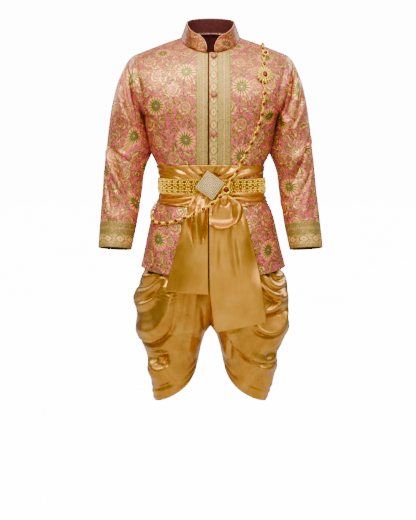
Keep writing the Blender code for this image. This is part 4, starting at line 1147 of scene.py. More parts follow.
LEFT_LEG_REAR_DRAPES = table(
    DRAPE_COLUMNS,
    (236, -738, 140, -838, 46, -742, 9.5, 8.5, 5),
    (240, -812, 170, -900, 88, -842, 12, 9, 5.5),
    (238, -872, 124, -992, 40, -905, 13, 10, 6),
    (216, -955, 160, -1026, 98, -1000, 9, 5.5, 4),
    (204, -718, 176, -764, 136, -716, 6, 4.6, 3.4),
    (52, -730, 60, -800, 50, -880, 7, 4, 2.4),
)
RIGHT_LEG_REAR_DRAPES = table(
    DRAPE_COLUMNS,
    (234, -760, 168, -850, 60, -736, 10, 8.6, 5),
    (240, -842, 134, -945, 38, -826, 13, 10, 6),
    (226, -918, 172, -968, 112, -946, 9, 6, 4.5),
    (214, -962, 118, -1052, 62, -972, 10, 7, 4.5),
    (192, -722, 158, -782, 112, -722, 5.8, 4.6, 3.4),
    (30, -850, 46, -910, 90, -1000, 8, 4.4, 2.4),
)
BASE_FOLDS, BASE_FOLDS_IN_FRONT = 0.6, 0.25
HEM_RIDGES = ((0.01, 0.003), (0.029, 0.003), (0.052, 0.0018))
HEM_RIDGE_WIDE = 0.0062


def leg(folds, crisp, gentle, rear, fuller):
    """The left leg, from its inner side past the front and the outer side to the back."""
    row = read(LEG, np.linspace(0, len(LEG["droop"]) - 1, LEG_ROWS)[:, None])
    height = row["outer_z"]
    full = ease((FULL_FROM - height) / FULL_EASE) * ease((height - FULL_TO) / FULL_EASE)
    row["outer_x"] = row["outer_x"] + fuller * full
    middle, half = (row["outer_x"] + row["inner_x"]) / 2, (row["outer_x"] - row["inner_x"]) / 2
    start = np.maximum(np.arccos(np.clip(middle / half, -1, 1)), LEAST_ANGLE)
    angle = start + (2 * math.pi - 2 * start) * np.linspace(0, 1, LEG_COLUMNS + 1)[None, :]
    x = np.maximum(middle - half * np.cos(angle), 0)
    y = np.where(np.sin(angle) > 0, row["front_y"], -row["back_y"]) * np.sin(angle)
    fall = np.clip((x - row["inner_x"]) / (2 * half), 0, 1) ** row["droop"]
    z = row["inner_z"] + (row["outer_z"] - row["inner_z"]) * fall
    grid = points_of(x, y, z)
    around = np.degrees(angle)
    below_hem = ease((FOLDS_FROM - z) / FOLDS_EASE)
    off_inseam = ease((np.minimum(around, 360 - around) - INSEAM_PLAIN) / INSEAM_EASE)
    in_front, behind = ease(np.sin(angle) / SIDE_EASE), ease(-np.sin(angle) / SIDE_EASE)
    base = relief(around * LEG_ARC, z, round_folds(folds, LEG_ARC))
    lift = base * (BASE_FOLDS + (BASE_FOLDS_IN_FRONT - BASE_FOLDS) * in_front)
    lift = lift + (drapes(x, z, crisp) + relief(x, z, gentle)) * in_front
    lift = lift + drapes(x, z, rear) * behind
    lift = lift * below_hem * off_inseam
    above_hem = run_along(grid[::-1], 0)[::-1]
    for ridge, height in HEM_RIDGES:
        lift = lift + height * np.exp(-(((above_hem - ridge) / HEM_RIDGE_WIDE) ** 2))
    return grid + lift[..., None] * normals(grid)


def make_satin(name, dark, mid, light):
    """Polyester satin: broad golden highlights along the folds, deep warm shade between, a fine weave
    and the slight unevenness of handled cloth. Fine streaks along it are raised a little and darkened as
    painted shade of combed folds."""
    material, add, shader = begin_material(name, anisotropic=0.4, metallic=0.92)
    spot = add("UVMap cloth")[0]
    cloudy = add("TexNoise 2D", {0: spot, "Scale": 14.0, "Detail": 3.0})[0]
    colour = add("ValToRGB", cloudy, stops=((0.25, dark), (0.5, mid), (0.75, light)), soft=True)[0]
    drawn = add("VectorMath MULTIPLY", spot, (260.0, 9.0, 0.0))[0]
    combed_streaks = add("TexNoise 2D", {0: drawn, "Scale": 1.0, "Detail": 4.0})[0]
    # Painted shade: the streaks darken the colour a little, like fine combed folds.
    threads = add("ValToRGB", combed_streaks, stops=((0.3, 0.9), (0.7, 1.0)), soft=True)[0]
    colour = add("Mix RGBA", {0: 1.0, 6: colour, 7: threads}, blend_type="MULTIPLY")[2]
    puckers = add("TexNoise 2D", {0: spot, "Scale": 34.0, "Detail": 2.0})[0]
    puckers = add("Math MULTIPLY_ADD", combed_streaks, 0.08, puckers)[0]
    weave = add("TexWave DIAGONAL", {0: spot, "Scale": 0.314 / 0.0009})[1]
    height = add("Math MULTIPLY_ADD", weave, 0.03, puckers)[0]
    bump = add("Bump", {"Strength": 0.12, "Distance": 0.003, "Height": height})[0]
    rough = add("MapRange", {0: cloudy, 3: 0.28, 4: 0.35})[0]
    wire(shader, base_color=colour, roughness=rough, normal=bump)
    return material


def make_trousers():
    satin = make_satin("deep gold satin", "#B07418", "#BE8220", "#D29832")
    left = leg(LEFT_LEG_FOLDS, LEFT_LEG_DRAPES, LEFT_LEG_SOFT, LEFT_LEG_REAR_DRAPES, LEFT_LEG_FULLER)
    right = leg(RIGHT_LEG_FOLDS, RIGHT_LEG_DRAPES, RIGHT_LEG_SOFT, RIGHT_LEG_REAR_DRAPES, RIGHT_LEG_FULLER)
    right = mirrored(right)
    for side, grid in (("left", left), ("right", right)):
        maps = {"cloth": laid_flat(grid, LEG_COLUMNS // 2, 0)}
        piece = cloth(f"trouser_leg_{side}_cloth", grid, maps, SATIN, (satin, satin))
        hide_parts(f"trouser_leg_{side}")


make_trousers()

# ------------------------------------------------------------------------------ sash
# A long strip of paler gold satin wound round the waist in soft folds that draw in to the buckle.
# One end is tucked up into a loop beside the buckle, and both hang down the front, cut on the slant.
SASH_LIFT = BROCADE + 0.0008
SASH_TOP, SASH_FOOT = 11.95, 15.4
SASH_ROWS, SASH_COLUMNS = 62, 400
SASH_PULLED, SASH_FOLD_WIDE = 0.09, 0.04
SASH_ROLL, SASH_ROLL_WIDE = 0.0012, 0.03
TAIL_LOOSE, TAIL_LOOSE_EASE = -0.64, 0.1

# The two hanging ends of the sash, one row for each line across, from behind the buckle to the end.
LEFT_TAIL = table(
    "low_x low_z high_x high_z stand pleat swing",
    (-3, -474, 48, -474, 6.2, 1, 0),
    (-4.5, -496, 70, -492, 6.6, 1, 0),
    (-5, -522, 92, -516, 6.6, 1.2, 0),
    (-5, -560, 107, -555, 6.6, 1.6, 0),
    (-5, -620, 121, -614, 7, 3, 0),
    (-4.5, -690, 138, -682, 7, 3, 4),
    (-2, -760, 149, -748, 8, 3.5, 22),
    (5.5, -825, 157, -804, 9, 4, 26),
    (13, -879, 161, -850, 9, 4.5, 24),
)
RIGHT_TAIL = table(
    "low_x low_z high_x high_z stand pleat swing",
    (-46, -474, -6, -474, 6.2, 1, 0),
    (-60, -496, -7.2, -496, 8.8, 1.5, 0),
    (-71, -528, -7.5, -528, 11, 2.5, 0),
    (-84, -573, -7.5, -575, 8, 2.5, 0),
    (-101, -638, -7.5, -640, 6.5, 2, 0),
    (-117, -698, -7.2, -702, 6.5, 2, 2),
    (-133, -757, -6, -765, 6.5, 2, 14),
)
SWING_REACH = 0.15
TAIL_ROWS, TAIL_COLUMNS = 130, 54
TAIL_SMOOTHED = 160
POUCH_ROWS, POUCH_COLUMNS, POUCH_TUCKED = 90, 60, 0.5

# Long soft folds of the wrapped part, by how far down it they lie from 0 to 1 at its sides and by
# the buckle, and crisper ones in front that run in to the buckle, by x and z.
SASH_FOLDS = ((0.14, 0.2, 0.0016), (0.3, 0.36, 0.0014), (0.62, 0.66, 0.0014), (0.78, 0.72, 0.0018))
SASH_DRAPES = table(
    DRAPE_COLUMNS,
    (-162, -392, -110, -396, -46, -434, 4.6, 3.4, 3),
    (-162, -412, -120, -412, -56, -440, 3.8, 2.2, 2.4),
    (-110, -384, -76, -392, -36, -424, 3.8, 3.8, 3.4),
    (-64, -382, -46, -394, -26, -416, 3.2, 5.6, 4.6),
    (-30, -382, -24, -394, -16, -410, 3, 4.4, 3.4),
    (14, -410, 22, -396, 30, -382, 3, 5, 3.8),
    (24, -416, 40, -396, 60, -382, 3.4, 6.2, 5),
    (36, -426, 70, -398, 108, -386, 4.4, 7.8, 6),
    (48, -434, 110, -404, 164, -402, 5, 7.4, 5.6),
    (-48, -470, -106, -470, -162, -478, 3.6, 5, 4.6),
    (-46, -478, -100, -490, -162, -494, 3.8, 5.8, 5),
    (-48, -490, -94, -508, -158, -506, 3.6, 5.2, 4.4),
    (60, -470, 110, -476, 168, -474, 4.6, 6.8, 5),
    (70, -480, 120, -496, 170, -490, 4.4, 6.6, 5),
    (164, -508, 130, -514, 84, -498, 3.4, 4.6, 4),
)
LEFT_TAIL_DRAPES = table(
    DRAPE_COLUMNS,
    (70, -560, 82, -620, 94, -720, 8, 3, 3),
    (30, -570, 34, -620, 30, -700, 9, 1.6, 1.4),
)
RIGHT_TAIL_DRAPES = table(
    DRAPE_COLUMNS,
    (-58, -506, -57, -570, -41, -620, 3.4, 2, 6),
    (-33, -620, -21, -570, -18, -508, 3.4, 2, 6),
    (-36, -484, -44, -530, -44, -560, 3.4, 5, 4.4),
    (-60, -484, -72, -510, -78, -545, 3.4, 5.5, 5),
    (-48, -480, -60, -505, -67, -540, 3.2, 5, 5),
    (-18, -566, -16, -520, -20, -484, 3.4, 5, 4.4),
)
LEFT_TAIL_SOFT = table(CREASE_COLUMNS, (90, -540, 104, -640, 118, -760, 12, 12, 2))
RIGHT_TAIL_SOFT = table(CREASE_COLUMNS, (-39, -500, -40, -560, -37, -622, 13, 13, 11))

# The loop as a soft pouch: a row for each line across it, from under the buckle down to its lower lip
# and back up behind it, with where its sides lie and how far its left, its middle, the hollow inside
# its right edge and that rolled edge stand off the jacket.
POUCH = table(
    "left_x left_z right_x right_z left middle hollow edge sag",
    (20, -470, 46, -468, 14, 23, 22, 17, 0),
    (11, -486, 64, -482, 12.5, 22.5, 20.5, 23, 0),
    (3, -502, 82, -498, 11.5, 19, 17, 28, 0),
    (-3, -517, 90, -514, 11, 15, 14, 29, 1),
    (-4.5, -530, 90, -529, 10.5, 12.5, 12, 28, 3),
    (-4.5, -541, 87, -540, 11, 11.5, 12, 27.5, 6),
    (-4, -550, 81, -549, 13.5, 16.5, 18, 26.5, 9),
    (-3, -558, 74, -555, 17.5, 29, 30, 26.5, 11),
    (0.5, -564, 68, -558, 16, 28, 28, 22, 12),
    (4.5, -562, 64, -554, 11, 20, 20, 16, 10),
    (8, -552, 60, -546, 9, 11, 11, 10, 6),
)
POUCH_ACROSS = (0.0, 0.26, 0.7, 0.9)
POUCH_DRAPES = table(
    DRAPE_COLUMNS,
    (30, -474, 28, -496, 37, -506, 3, 4, 4),
    (37, -506, 49, -500, 42, -474, 3, 4, 4),
    (54, -478, 68, -506, 66, -540, 3.6, 3.6, 3.6),
    (20, -486, 12, -510, 6, -534, 3.6, 3.6, 3),
)


def waist_ring(lines):
    """Closed rings round the waist on the jacket's own points, from the right side past the front."""
    rows = np.asarray(lines, float)[:, None]
    across = np.linspace(-1, 1, SASH_COLUMNS // 2 + 1)[None, :-1]
    return np.concatenate([jacket(rows, across), jacket(rows, -across, back=True)], axis=1)


def make_sash():
    satin = make_satin("pale gold satin", "#C0821A", "#CC8C20", "#DE9E2E")
    pieces = []

    band = waist_ring(np.linspace(SASH_TOP, SASH_FOOT, SASH_ROWS))
    down = np.linspace(0, 1, SASH_ROWS)[:, None]
    turn = np.linspace(0, 2 * math.pi, SASH_COLUMNS, endpoint=False)[None, :]
    in_front = band[..., 1] < 0
    near = np.exp(-((band[..., 0] / SASH_PULLED) ** 2)) * in_front
    lift = drapes(band[..., 0], band[..., 2], SASH_DRAPES) * in_front
    for side, drawn, height in SASH_FOLDS:
        home = side + 0.03 * np.sin(2 * turn + 9 * side) + 0.02 * np.sin(5 * turn + 23 * side)
        home = home + (drawn - side) * near
        lift = lift + height * np.exp(-(((down - home) / SASH_FOLD_WIDE) ** 2))
    rolled = np.exp(-((down / SASH_ROLL_WIDE) ** 2)) + np.exp(-(((1 - down) / SASH_ROLL_WIDE) ** 2))
    band = band + (SASH_LIFT + lift + SASH_ROLL * rolled)[..., None] * normals(band, wraps=True)
    closed = np.concatenate([band, band[:, :1]], axis=1)
    pieces.append(("sash_wrap", band, closed, True, "gathered", (0.92, 0.13), None))

    for node, rows_of, pleats, phase, crisp, gentle, flat in (
        ("sash_tail_left", LEFT_TAIL, 2.5, 0.4, LEFT_TAIL_DRAPES, LEFT_TAIL_SOFT, (0.17, 0.42)),
        ("sash_tail_right", RIGHT_TAIL, 2.0, 1.2, RIGHT_TAIL_DRAPES, RIGHT_TAIL_SOFT, (0.13, 0.3)),
    ):
        row = read(rows_of, np.linspace(0, len(rows_of["low_x"]) - 1, TAIL_ROWS)[:, None])
        share = np.linspace(0, 1, TAIL_COLUMNS + 1)[None, :]
        x = row["low_x"] + (row["high_x"] - row["low_x"]) * share
        z = row["low_z"] + (row["high_z"] - row["low_z"]) * share
        loose = ease((z - TAIL_LOOSE) / TAIL_LOOSE_EASE)
        wave = np.sin(2 * math.pi * pleats * share + phase) * row["pleat"] * loose
        swing = row["swing"] * (np.abs(x) / SWING_REACH) ** 2
        grid = lying_on(x, z, row["stand"])[0]
        for _ in range(TAIL_SMOOTHED):
            grid[1:-1, :, 1] += (grid[:-2, :, 1] - 2 * grid[1:-1, :, 1] + grid[2:, :, 1]) / 4
        lift = wave + drapes(x, z, crisp) + relief(x, z, gentle)
        grid = grid + lift[..., None] * normals(grid) - points_of(0 * x, swing, 0 * x)
        pieces.append((node, grid, grid, False, "hung", flat, flat[0] * flat[1] * 0.8))

    share = np.linspace(0, 1, POUCH_COLUMNS)[None, :]
    row = read(POUCH, np.linspace(0, len(POUCH["left"]) - 1, POUCH_ROWS)[:, None])
    x = row["left_x"] + (row["right_x"] - row["left_x"]) * share
    z = row["left_z"] + (row["right_z"] - row["left_z"]) * share - row["sag"] * np.sin(math.pi * share)
    off = np.zeros(x.shape)
    stands = np.concatenate([row[name] for name in ("left", "middle", "hollow", "edge")], axis=1)
    for start, end, low, high in zip(POUCH_ACROSS, POUCH_ACROSS[1:], stands.T, stands.T[1:]):
        part = ease((share - start) / (end - start))
        within = (share >= start) & (share < end)
        off = np.where(within, low[:, None] + (high - low)[:, None] * part, off)
    tucked = 1 - POUCH_TUCKED * ease((share - POUCH_ACROSS[-1]) / (1 - POUCH_ACROSS[-1]))
    off = np.where(share >= POUCH_ACROSS[-1], stands[:, 3:] * tucked, off)
    grid = lying_on(x, z, off)[0]
    grid = grid + drapes(x, z, POUCH_DRAPES)[..., None] * [0, -1, 0]
    pieces.append(("sash_loop", grid, grid, False, "folded", (0.12, 0.19), 0.0135))

    for node, grid, closed, wraps, held, flat, area in pieces:
        flat_map = laid_flat(closed, 0, 0)
        maps = {"cloth": flat_map[..., ::-1] if wraps else flat_map}
        piece = cloth(node + "_cloth", grid, maps, SATIN, (satin, satin), wraps=wraps)
        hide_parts(node)


make_sash()

# ------------------------------------------------------------------------------ belt
# Forty-two stamped gilt links riveted side by side on a ribbon. Each link has two daisy bosses, with a
# row of three small domes at its upper and lower edges, and a bead bridges to the next in three places.
BELT_LIFT = SASH_LIFT + SATIN + 0.0012
BELT_TOP, BELT_FOOT = 12.93, 14.07
BELT_UNITS, RIBBON = 42, 0.0007
LINK_WIDE, LINK_TALL, LINK_PLATE, LINK_GAP = 0.0204, 0.045, 0.0016, 0.0004
LINK_BEVEL = 0.0005
DAISY_HEIGHT, DAISY_RING, DAISY_PETALS = 0.0098, 0.0064, 6
PETAL_SIZE, BOSS_SIZE = (0.0035, 0.0023, 0.004), (0.0027, 0.0027, 0.0054)
DOME_HEIGHT, DOME_EVERY, DOME_SIZE = 0.0207, 0.0058, (0.0024, 0.00216, 0.0028)
BETWEEN_EVERY, BETWEEN_SIZE = 0.02, (0.002, 0.0026, 0.0036)


def make_gilt(name, bright, shade, painted_shade):
    """Gold-plated brass, mottled at random, with painted shade: it turns a darker brown where its own
    hollows are closed in.
    """
    material, add, shader = begin_material(name, metallic=1.0)
    spot = add("TexCoord")["Object"]
    cloudy = add("TexNoise", {0: spot, "Scale": 240.0, "Detail": 3.0})[0]
    colour = add("ValToRGB", cloudy, stops=((0.3, shade), (0.6, bright)), soft=True)[0]
    # Painted shade: where the surface is closed in, the colour goes to the darker brown.
    hollow = add("AmbientOcclusion", {"Distance": 0.003}, samples=6, only_local=True)[1]
    hollow = add("ValToRGB", hollow, stops=((0.25, 0.0), (0.7, 1.0)), soft=True)[0]
    colour = add("Mix RGBA", {0: hollow, 6: painted_shade, 7: colour})[2]
    rough = add("MapRange", {0: cloudy, 3: 0.26, 4: 0.42})[0]
    scratches = add("TexNoise", {0: spot, "Scale": 1400.0, "Detail": 2.0})[0]
    bump = add("Bump", {"Strength": 0.15, "Distance": 0.0002, "Height": scratches})[0]
    wire(shader, base_color=colour, roughness=rough, normal=bump)
    return material


GILT = make_gilt("gilt brass", "#FFE41C", "#FFC414", "#A8680C")
# A darker copy of the gilt, its colours painted shade, for the link plates behind the bosses and the
# brooch's base between its rays.
GILT_SHADE = make_gilt("shaded gilt", "#C08A18", "#8A5C0E", "#4A2404")


def repeated(name, piece, places, material=None):
    """One piece made of a copy of another at each place, given as matrices. The first is removed."""
    form = bmesh.new()
    for place in places:
        copy = piece.data.copy()
        copy.transform(place)
        form.from_mesh(copy)
        bpy.data.meshes.remove(copy)
    mesh = bpy.data.meshes.new(name)
    form.to_mesh(mesh)
    form.free()
    if material:
        mesh.materials.append(material)
    bpy.data.objects.remove(piece)
    return put(name, mesh)


def ball(size, at=(0, 0, 0), segments=12, rings=8):
    """A ball squeezed to a size in each direction."""
    bpy.ops.mesh.primitive_uv_sphere_add(
        segments=segments, ring_count=rings, radius=1, location=at, scale=size
    )
    bpy.ops.object.transform_apply()
    bpy.ops.object.shade_smooth()
    return bpy.context.object


def half_ball(size, at=(0, 0, 0), segments=8, rings=6):
    """The upper half of such a ball."""
    piece = ball(size, at, segments, rings)
    edit(bpy.ops.mesh.bisect, plane_co=at, plane_no=(0, 0, 1), clear_inner=True)
    return piece


def joined(name, pieces):
    """Several pieces made one."""
    choose(*pieces)
    bpy.ops.object.join()
    pieces[0].name = name
    return pieces[0]


def ring_of(count, radius, at):
    """Places round a ring in the plane of x and y, each turned to point outward."""
    turns = (Matrix.Rotation(2 * math.pi * k / count, 4, "Z") for k in range(count))
    return [Matrix.Translation(at) @ turn @ Matrix.Translation((radius, 0, 0)) for turn in turns]


def make_belt_link():
    """One link: its face in x and y, and standing out along z from the ribbon."""
    size = (LINK_WIDE - LINK_GAP, LINK_TALL, LINK_PLATE)
    bpy.ops.mesh.primitive_cube_add(size=1, location=(0, 0, LINK_PLATE / 2), scale=size)
    plate = bpy.context.object
    bpy.ops.object.transform_apply()
    edit(bpy.ops.mesh.bevel, offset=LINK_BEVEL, segments=1)
    bpy.ops.object.shade_flat()
    # The plate takes the darker gilt as painted shade between the bosses.
    plate.data.materials.append(GILT_SHADE)
    parts = []
    for side in (-1, 1):
        middle = (0, side * DAISY_HEIGHT, LINK_PLATE)
        petal = half_ball(PETAL_SIZE)
        parts.append(repeated("petals", petal, ring_of(DAISY_PETALS, DAISY_RING, middle)))
        parts.append(half_ball(BOSS_SIZE, middle))
        spots = [(k * DOME_EVERY, side * DOME_HEIGHT, LINK_PLATE) for k in (-1, 0, 1)]
        dome = half_ball(DOME_SIZE)
        parts.append(repeated("domes", dome, [Matrix.Translation(at) for at in spots]))
    between = [(LINK_WIDE / 2, k * BETWEEN_EVERY, LINK_PLATE * 0.6) for k in (-1, 0, 1)]
    bead = half_ball(BETWEEN_SIZE)
    parts.append(repeated("between", bead, [Matrix.Translation(at) for at in between]))
    return joined("belt_link", [dressed(part, GILT) for part in parts] + [plate])


def facing_place(at, out, up=(0, 0, 1)):
    """A place whose z points out and whose y points up as nearly as it can."""
    out, up = Vector(out).normalized(), Vector(up)
    side = up.cross(out).normalized()
    turn = Matrix((side, out.cross(side), out)).transposed().to_4x4()
    return Matrix.Translation(at) @ turn


def make_belt():
    ring = waist_ring(np.linspace(BELT_TOP, BELT_FOOT, 13))
    ring = ring + BELT_LIFT * normals(ring, wraps=True)
    closed = np.concatenate([ring, ring[:, :1]], axis=1)

    ribbon = make_satin("brown ribbon", "#3A1808", "#5A280C", "#743A10")
    maps = {"cloth": laid_flat(closed, 0, 0)}
    band = cloth("belt_ribbon", ring, maps, RIBBON, (ribbon, ribbon), wraps=True)

    middle = closed[len(closed) // 2]
    length = run_along(middle[:, None], 0)[-1, 0]
    stops = (np.arange(BELT_UNITS) + 0.5) * length / BELT_UNITS
    at = at_stops(stops, middle)
    up = at_stops(stops, closed[0]) - at_stops(stops, closed[-1])
    ahead = at_stops((stops + 0.004) % length, middle) - at_stops((stops - 0.004) % length, middle)
    out = unit(np.cross(ahead, up))
    places = [facing_place(a + RIBBON * o, o, u) for a, o, u in zip(at, out, up)]
    belt = repeated("belt_links", make_belt_link(), places, GILT)
    belt.data.materials.append(GILT_SHADE)
    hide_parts("belt")
    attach(belt, "root")


make_belt()

# ------------------------------------------------------------------------------ buckle
# A square plate of gilt set on its corner, rising in steps, darkened as painted shade between the stones. It
# holds six nested rows of round white stones, with one more in the middle, and a thin rail of the same
# shaded gilt runs round each row.
BUCKLE_SIDE, BUCKLE_PLATE, BUCKLE_TIER, BUCKLE_TIERS = 0.067, 0.004, 0.0016, 3
BUCKLE_TURN = math.radians(54.0)
BUCKLE_AT = (-0.002, -0.1322, -0.442)
STONE_ROWS = (0.0292, 0.0243, 0.0194, 0.0145, 0.0096, 0.0047)
STONE_EVERY, STONE_RADIUS, STONE_TALL = 0.0034, 0.0018, 0.0014
RAIL, RAIL_INSIDE = 0.0005, 0.00245
OUTER_RAIL, OUTER_RAIL_AT = RAIL * 2.2, 0.0329
STONE_SHADES = ((0.0, "#F0C870"), (0.15, "#FFEAA0"), (0.4, "#FFF6C0"), (0.85, "#FFEEA0"))


def make_crystal():
    """Cut glass stones: bright white and silver flashes, with a darker facet here and there."""
    material, add, shader = begin_material("cut glass", coat_weight=0.3, coat_roughness=0.05, metallic=0.35)
    spot = add("TexCoord")["Object"]
    facets = add("TexVoronoi", {0: spot, "Scale": 1 / 0.0016})
    lot = add("SeparateColor", facets["Color"])
    colour = add("ValToRGB", lot[0], stops=STONE_SHADES)[0]
    wire(shader, base_color=colour, roughness=add("MapRange", {0: lot[1], 3: 0.04, 4: 0.22})[0])
    return material


def square_run(half, every):
    """Even places along the four sides of a square, corners included."""
    count = max(round(2 * half / every), 1)
    side = [-half + 2 * half * k / count for k in range(count)]
    return [p for s in side for p in ((s, -half), (half, s), (-s, half), (-half, -s))]


def make_buckle():
    turn = Matrix.Rotation(-BUCKLE_TURN, 4, "Y") @ Matrix.Rotation(math.radians(90), 4, "X")
    place = Matrix.Translation(BUCKLE_AT) @ turn
    bpy.ops.mesh.primitive_cube_add(size=1, scale=(BUCKLE_SIDE, BUCKLE_SIDE, BUCKLE_PLATE))
    plate = bpy.context.object
    plate.name = "buckle_plate"
    bpy.ops.object.transform_apply()
    bpy.ops.object.mode_set(mode="EDIT")
    bpy.ops.mesh.select_mode(type="FACE")
    bpy.ops.mesh.select_all(action="DESELECT")
    bpy.ops.object.mode_set(mode="OBJECT")
    for face in plate.data.polygons:
        face.select = face.normal.z > 0.9
    bpy.ops.object.mode_set(mode="EDIT")
    for _ in range(BUCKLE_TIERS):
        bpy.ops.mesh.inset(thickness=BUCKLE_SIDE / 16)
        bpy.ops.mesh.inset(thickness=BUCKLE_TIER, depth=BUCKLE_TIER)
    bpy.ops.object.mode_set(mode="OBJECT")
    bevel = plate.modifiers.new("edges", "BEVEL")
    bevel.width, bevel.segments = 0.0004, 2
    bpy.ops.object.modifier_apply(modifier="edges")

    def height_at(half):
        """How high the plate's face stands at a distance from its middle."""
        rise = BUCKLE_PLATE / 2
        foot = BUCKLE_SIDE / 2
        for _ in range(BUCKLE_TIERS):
            foot -= BUCKLE_SIDE / 16
            rise += BUCKLE_TIER * min(max((foot - half) / BUCKLE_TIER, 0), 1)
            foot -= BUCKLE_TIER
        return rise

    bpy.ops.mesh.primitive_cone_add(
        vertices=8, radius1=STONE_RADIUS, radius2=STONE_RADIUS * 0.55, depth=STONE_TALL,
        location=(0, 0, STONE_TALL / 2),
    )
    stone = bpy.context.object
    bpy.ops.object.transform_apply()
    spots = [(x, y, height_at(half)) for half in STONE_ROWS for x, y in square_run(half, STONE_EVERY)]
    spots += [(0, 0, height_at(0.003))]
    stones = repeated("buckle_stones", stone, [Matrix.Translation(at) for at in spots], make_crystal())

    rails = []
    for half in (OUTER_RAIL_AT, *[row - RAIL_INSIDE for row in STONE_ROWS[:-1]]):
        high = height_at(half) + RAIL
        corners = [(-half, -half, high), (half, -half, high), (half, half, high), (-half, half, high)]
        sides = zip(corners, corners[1:] + corners[:1])
        line = [Vector(a).lerp(Vector(b), k / 8) for a, b in sides for k in range(8)]
        rails.append((line, OUTER_RAIL if half == OUTER_RAIL_AT else RAIL))
    # Painted shade: the plate and rails take a dark gilt, so that the gaps between the rows of stones read
    # dark.
    gold = make_gilt("shadowed gilt", "#A87014", "#784C08", "#2C1604")
    rails = [make_tube("buckle_rail", line, radius, gold, closed=True, sides=1) for line, radius in rails]
    rails = joined("buckle_rails", rails)

    dressed(plate, gold)
    for piece in (plate, stones, rails):
        piece.parent = None
        piece.matrix_world = place
        settle(piece)
    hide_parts("belt_buckle")


make_buckle()

# ------------------------------------------------------------------------------ body chain
# A closed chain worn over the left shoulder and across the chest and back: garnet beads in gilt cups
# with two ribbed barrels and small rings between each two. It lies on the cloth and is stitched to it.

# The chain's way round the body: where it lies, seen from the front or the back, and how far its
# middle stands off the jacket there.
CHAIN_FRONT = table(
    "x z off",
    (154.5, -60, 6.4),
    (156.5, -85, 6.4),
    (157, -124, 6.4),
    (156, -180, 6.4),
    (147, -240, 6.4),
    (125, -305, 6.4),
    (98, -356, 6.8),
    (74, -402, 11),
    (56, -430, 18),
    (42, -456, 23),
    (20, -486, 25),
    (-6, -510, 23),
    (-40, -528, 19.5),
    (-78, -544, 17.5),
    (-118, -556, 7.5),
    (-150, -560, 6.4),
)
CHAIN_BACK = table(
    "x z off",
    (-145, -492, 10),
    (-115, -455, 16.5),
    (-90, -420, 15),
    (-65, -378, 8.5),
    (-30, -325, 6.4),
    (20, -245, 6.4),
    (70, -165, 6.4),
    (118, -100, 6.4),
    (142, -66, 6.4),
)

# Where it passes round the right side and over the left shoulder, by the jacket's rows.
CHAIN_SIDE = table(
    "*row *across *behind off",
    (17.05, -0.7, 0, 6.4),
    (16.8, -0.85, 0, 6.4),
    (16.45, -0.97, 0, 6.4),
    (16.15, -0.94, 1, 6.4),
    (15.7, -0.84, 1, 6.8),
    (15.25, -0.78, 1, 8),
)
CHAIN_SHOULDER = table(
    "*row *across *behind off",
    (2.4, 0.6, 1, 6.6),
    (2.15, 0.7, 1, 6.8),
    (1.95, 0.8, 1, 6.8),
    (1.82, 0.9, 1, 6.6),
    (1.76, 0.98, 1, 6.6),
    (1.76, 0.94, 0, 6.6),
    (1.85, 0.86, 0, 6.6),
    (1.97, 0.79, 0, 6.4),
    (2.1, 0.735, 0, 6.4),
)
CHAIN_POINTS = 400
GARNET_EVERY, FIRST_GARNET = 0.031, 0.35
GARNET_SIZE, GARNET_RISE = (0.0065, 0.0053, 0.0042), 0.0008
BEZEL, CUP_SIZE = (0.0054, 0.0014), (0.0068, 0.0055, 0.0026)
RING, RINGS_AT = (0.0036, 0.0011), (0.0092, 0.0218)
BARREL_SIZE, BARREL_RIB, BARRELS_AT = (0.003, 0.0044, 0.0038), 0.0007, (0.0126, 0.0184)
BARREL_RIBS = ((-0.002, 0.0033), (0, 0.0042), (0.002, 0.0033))
BALL_SIZE, BALLS_AT = (0.0018, 0.0026, 0.0026), 0.0155


def make_garnet(name, bright, deep):
    """Dark red glass: a deep body, a lighter flash inside and a hard wet highlight."""
    material, add, shader = begin_material(name, roughness=0.14, specular_ior_level=0.25)
    spot = add("TexCoord")["Object"]
    cloudy = add("TexVoronoi", {0: spot, "Scale": 1 / 0.003})
    lot = add("SeparateColor", cloudy["Color"])
    colour = add("ValToRGB", lot[0], stops=((0.0, deep), (0.8, bright)), soft=True)[0]
    wire(shader, base_color=colour)
    return material


def chain_line():
    """The chain's closed route, and the way it faces: over the left shoulder, down the front, round
    and up the back."""
    stretches = []
    for lying, crossing, behind in ((CHAIN_FRONT, CHAIN_SIDE, False), (CHAIN_BACK, CHAIN_SHOULDER, True)):
        count = len(lying["x"])
        fine = read(lying, np.linspace(0, count - 1, 6 * count - 5))
        stretches.append(lying_on(fine["x"], fine["z"], fine["off"], behind))
        for row, across, back, off in zip(*crossing.values()):
            stretches.append(off_jacket(row, np.array([across]), off, bool(back)))
    route = np.concatenate([np.concatenate(stretch, axis=1) for stretch in stretches])
    closed = np.concatenate([route, route[:1]])
    length = run_along(closed[:, None, :3], 0)[-1, 0]
    return at_stops(np.linspace(0, length, CHAIN_POINTS + 1), closed), length


def torus(major, minor, at=(0, 0, 0), turn=(0, 0, 0), stretch=1.0, around=14, across=6):
    """A ring, drawn out along x."""
    bpy.ops.mesh.primitive_torus_add(
        major_segments=around, minor_segments=across, major_radius=major, minor_radius=minor,
        location=at, rotation=turn,
    )
    ring = bpy.context.object
    ring.scale = (stretch, 1, 1)
    bpy.ops.object.transform_apply()
    bpy.ops.object.shade_smooth()
    return ring


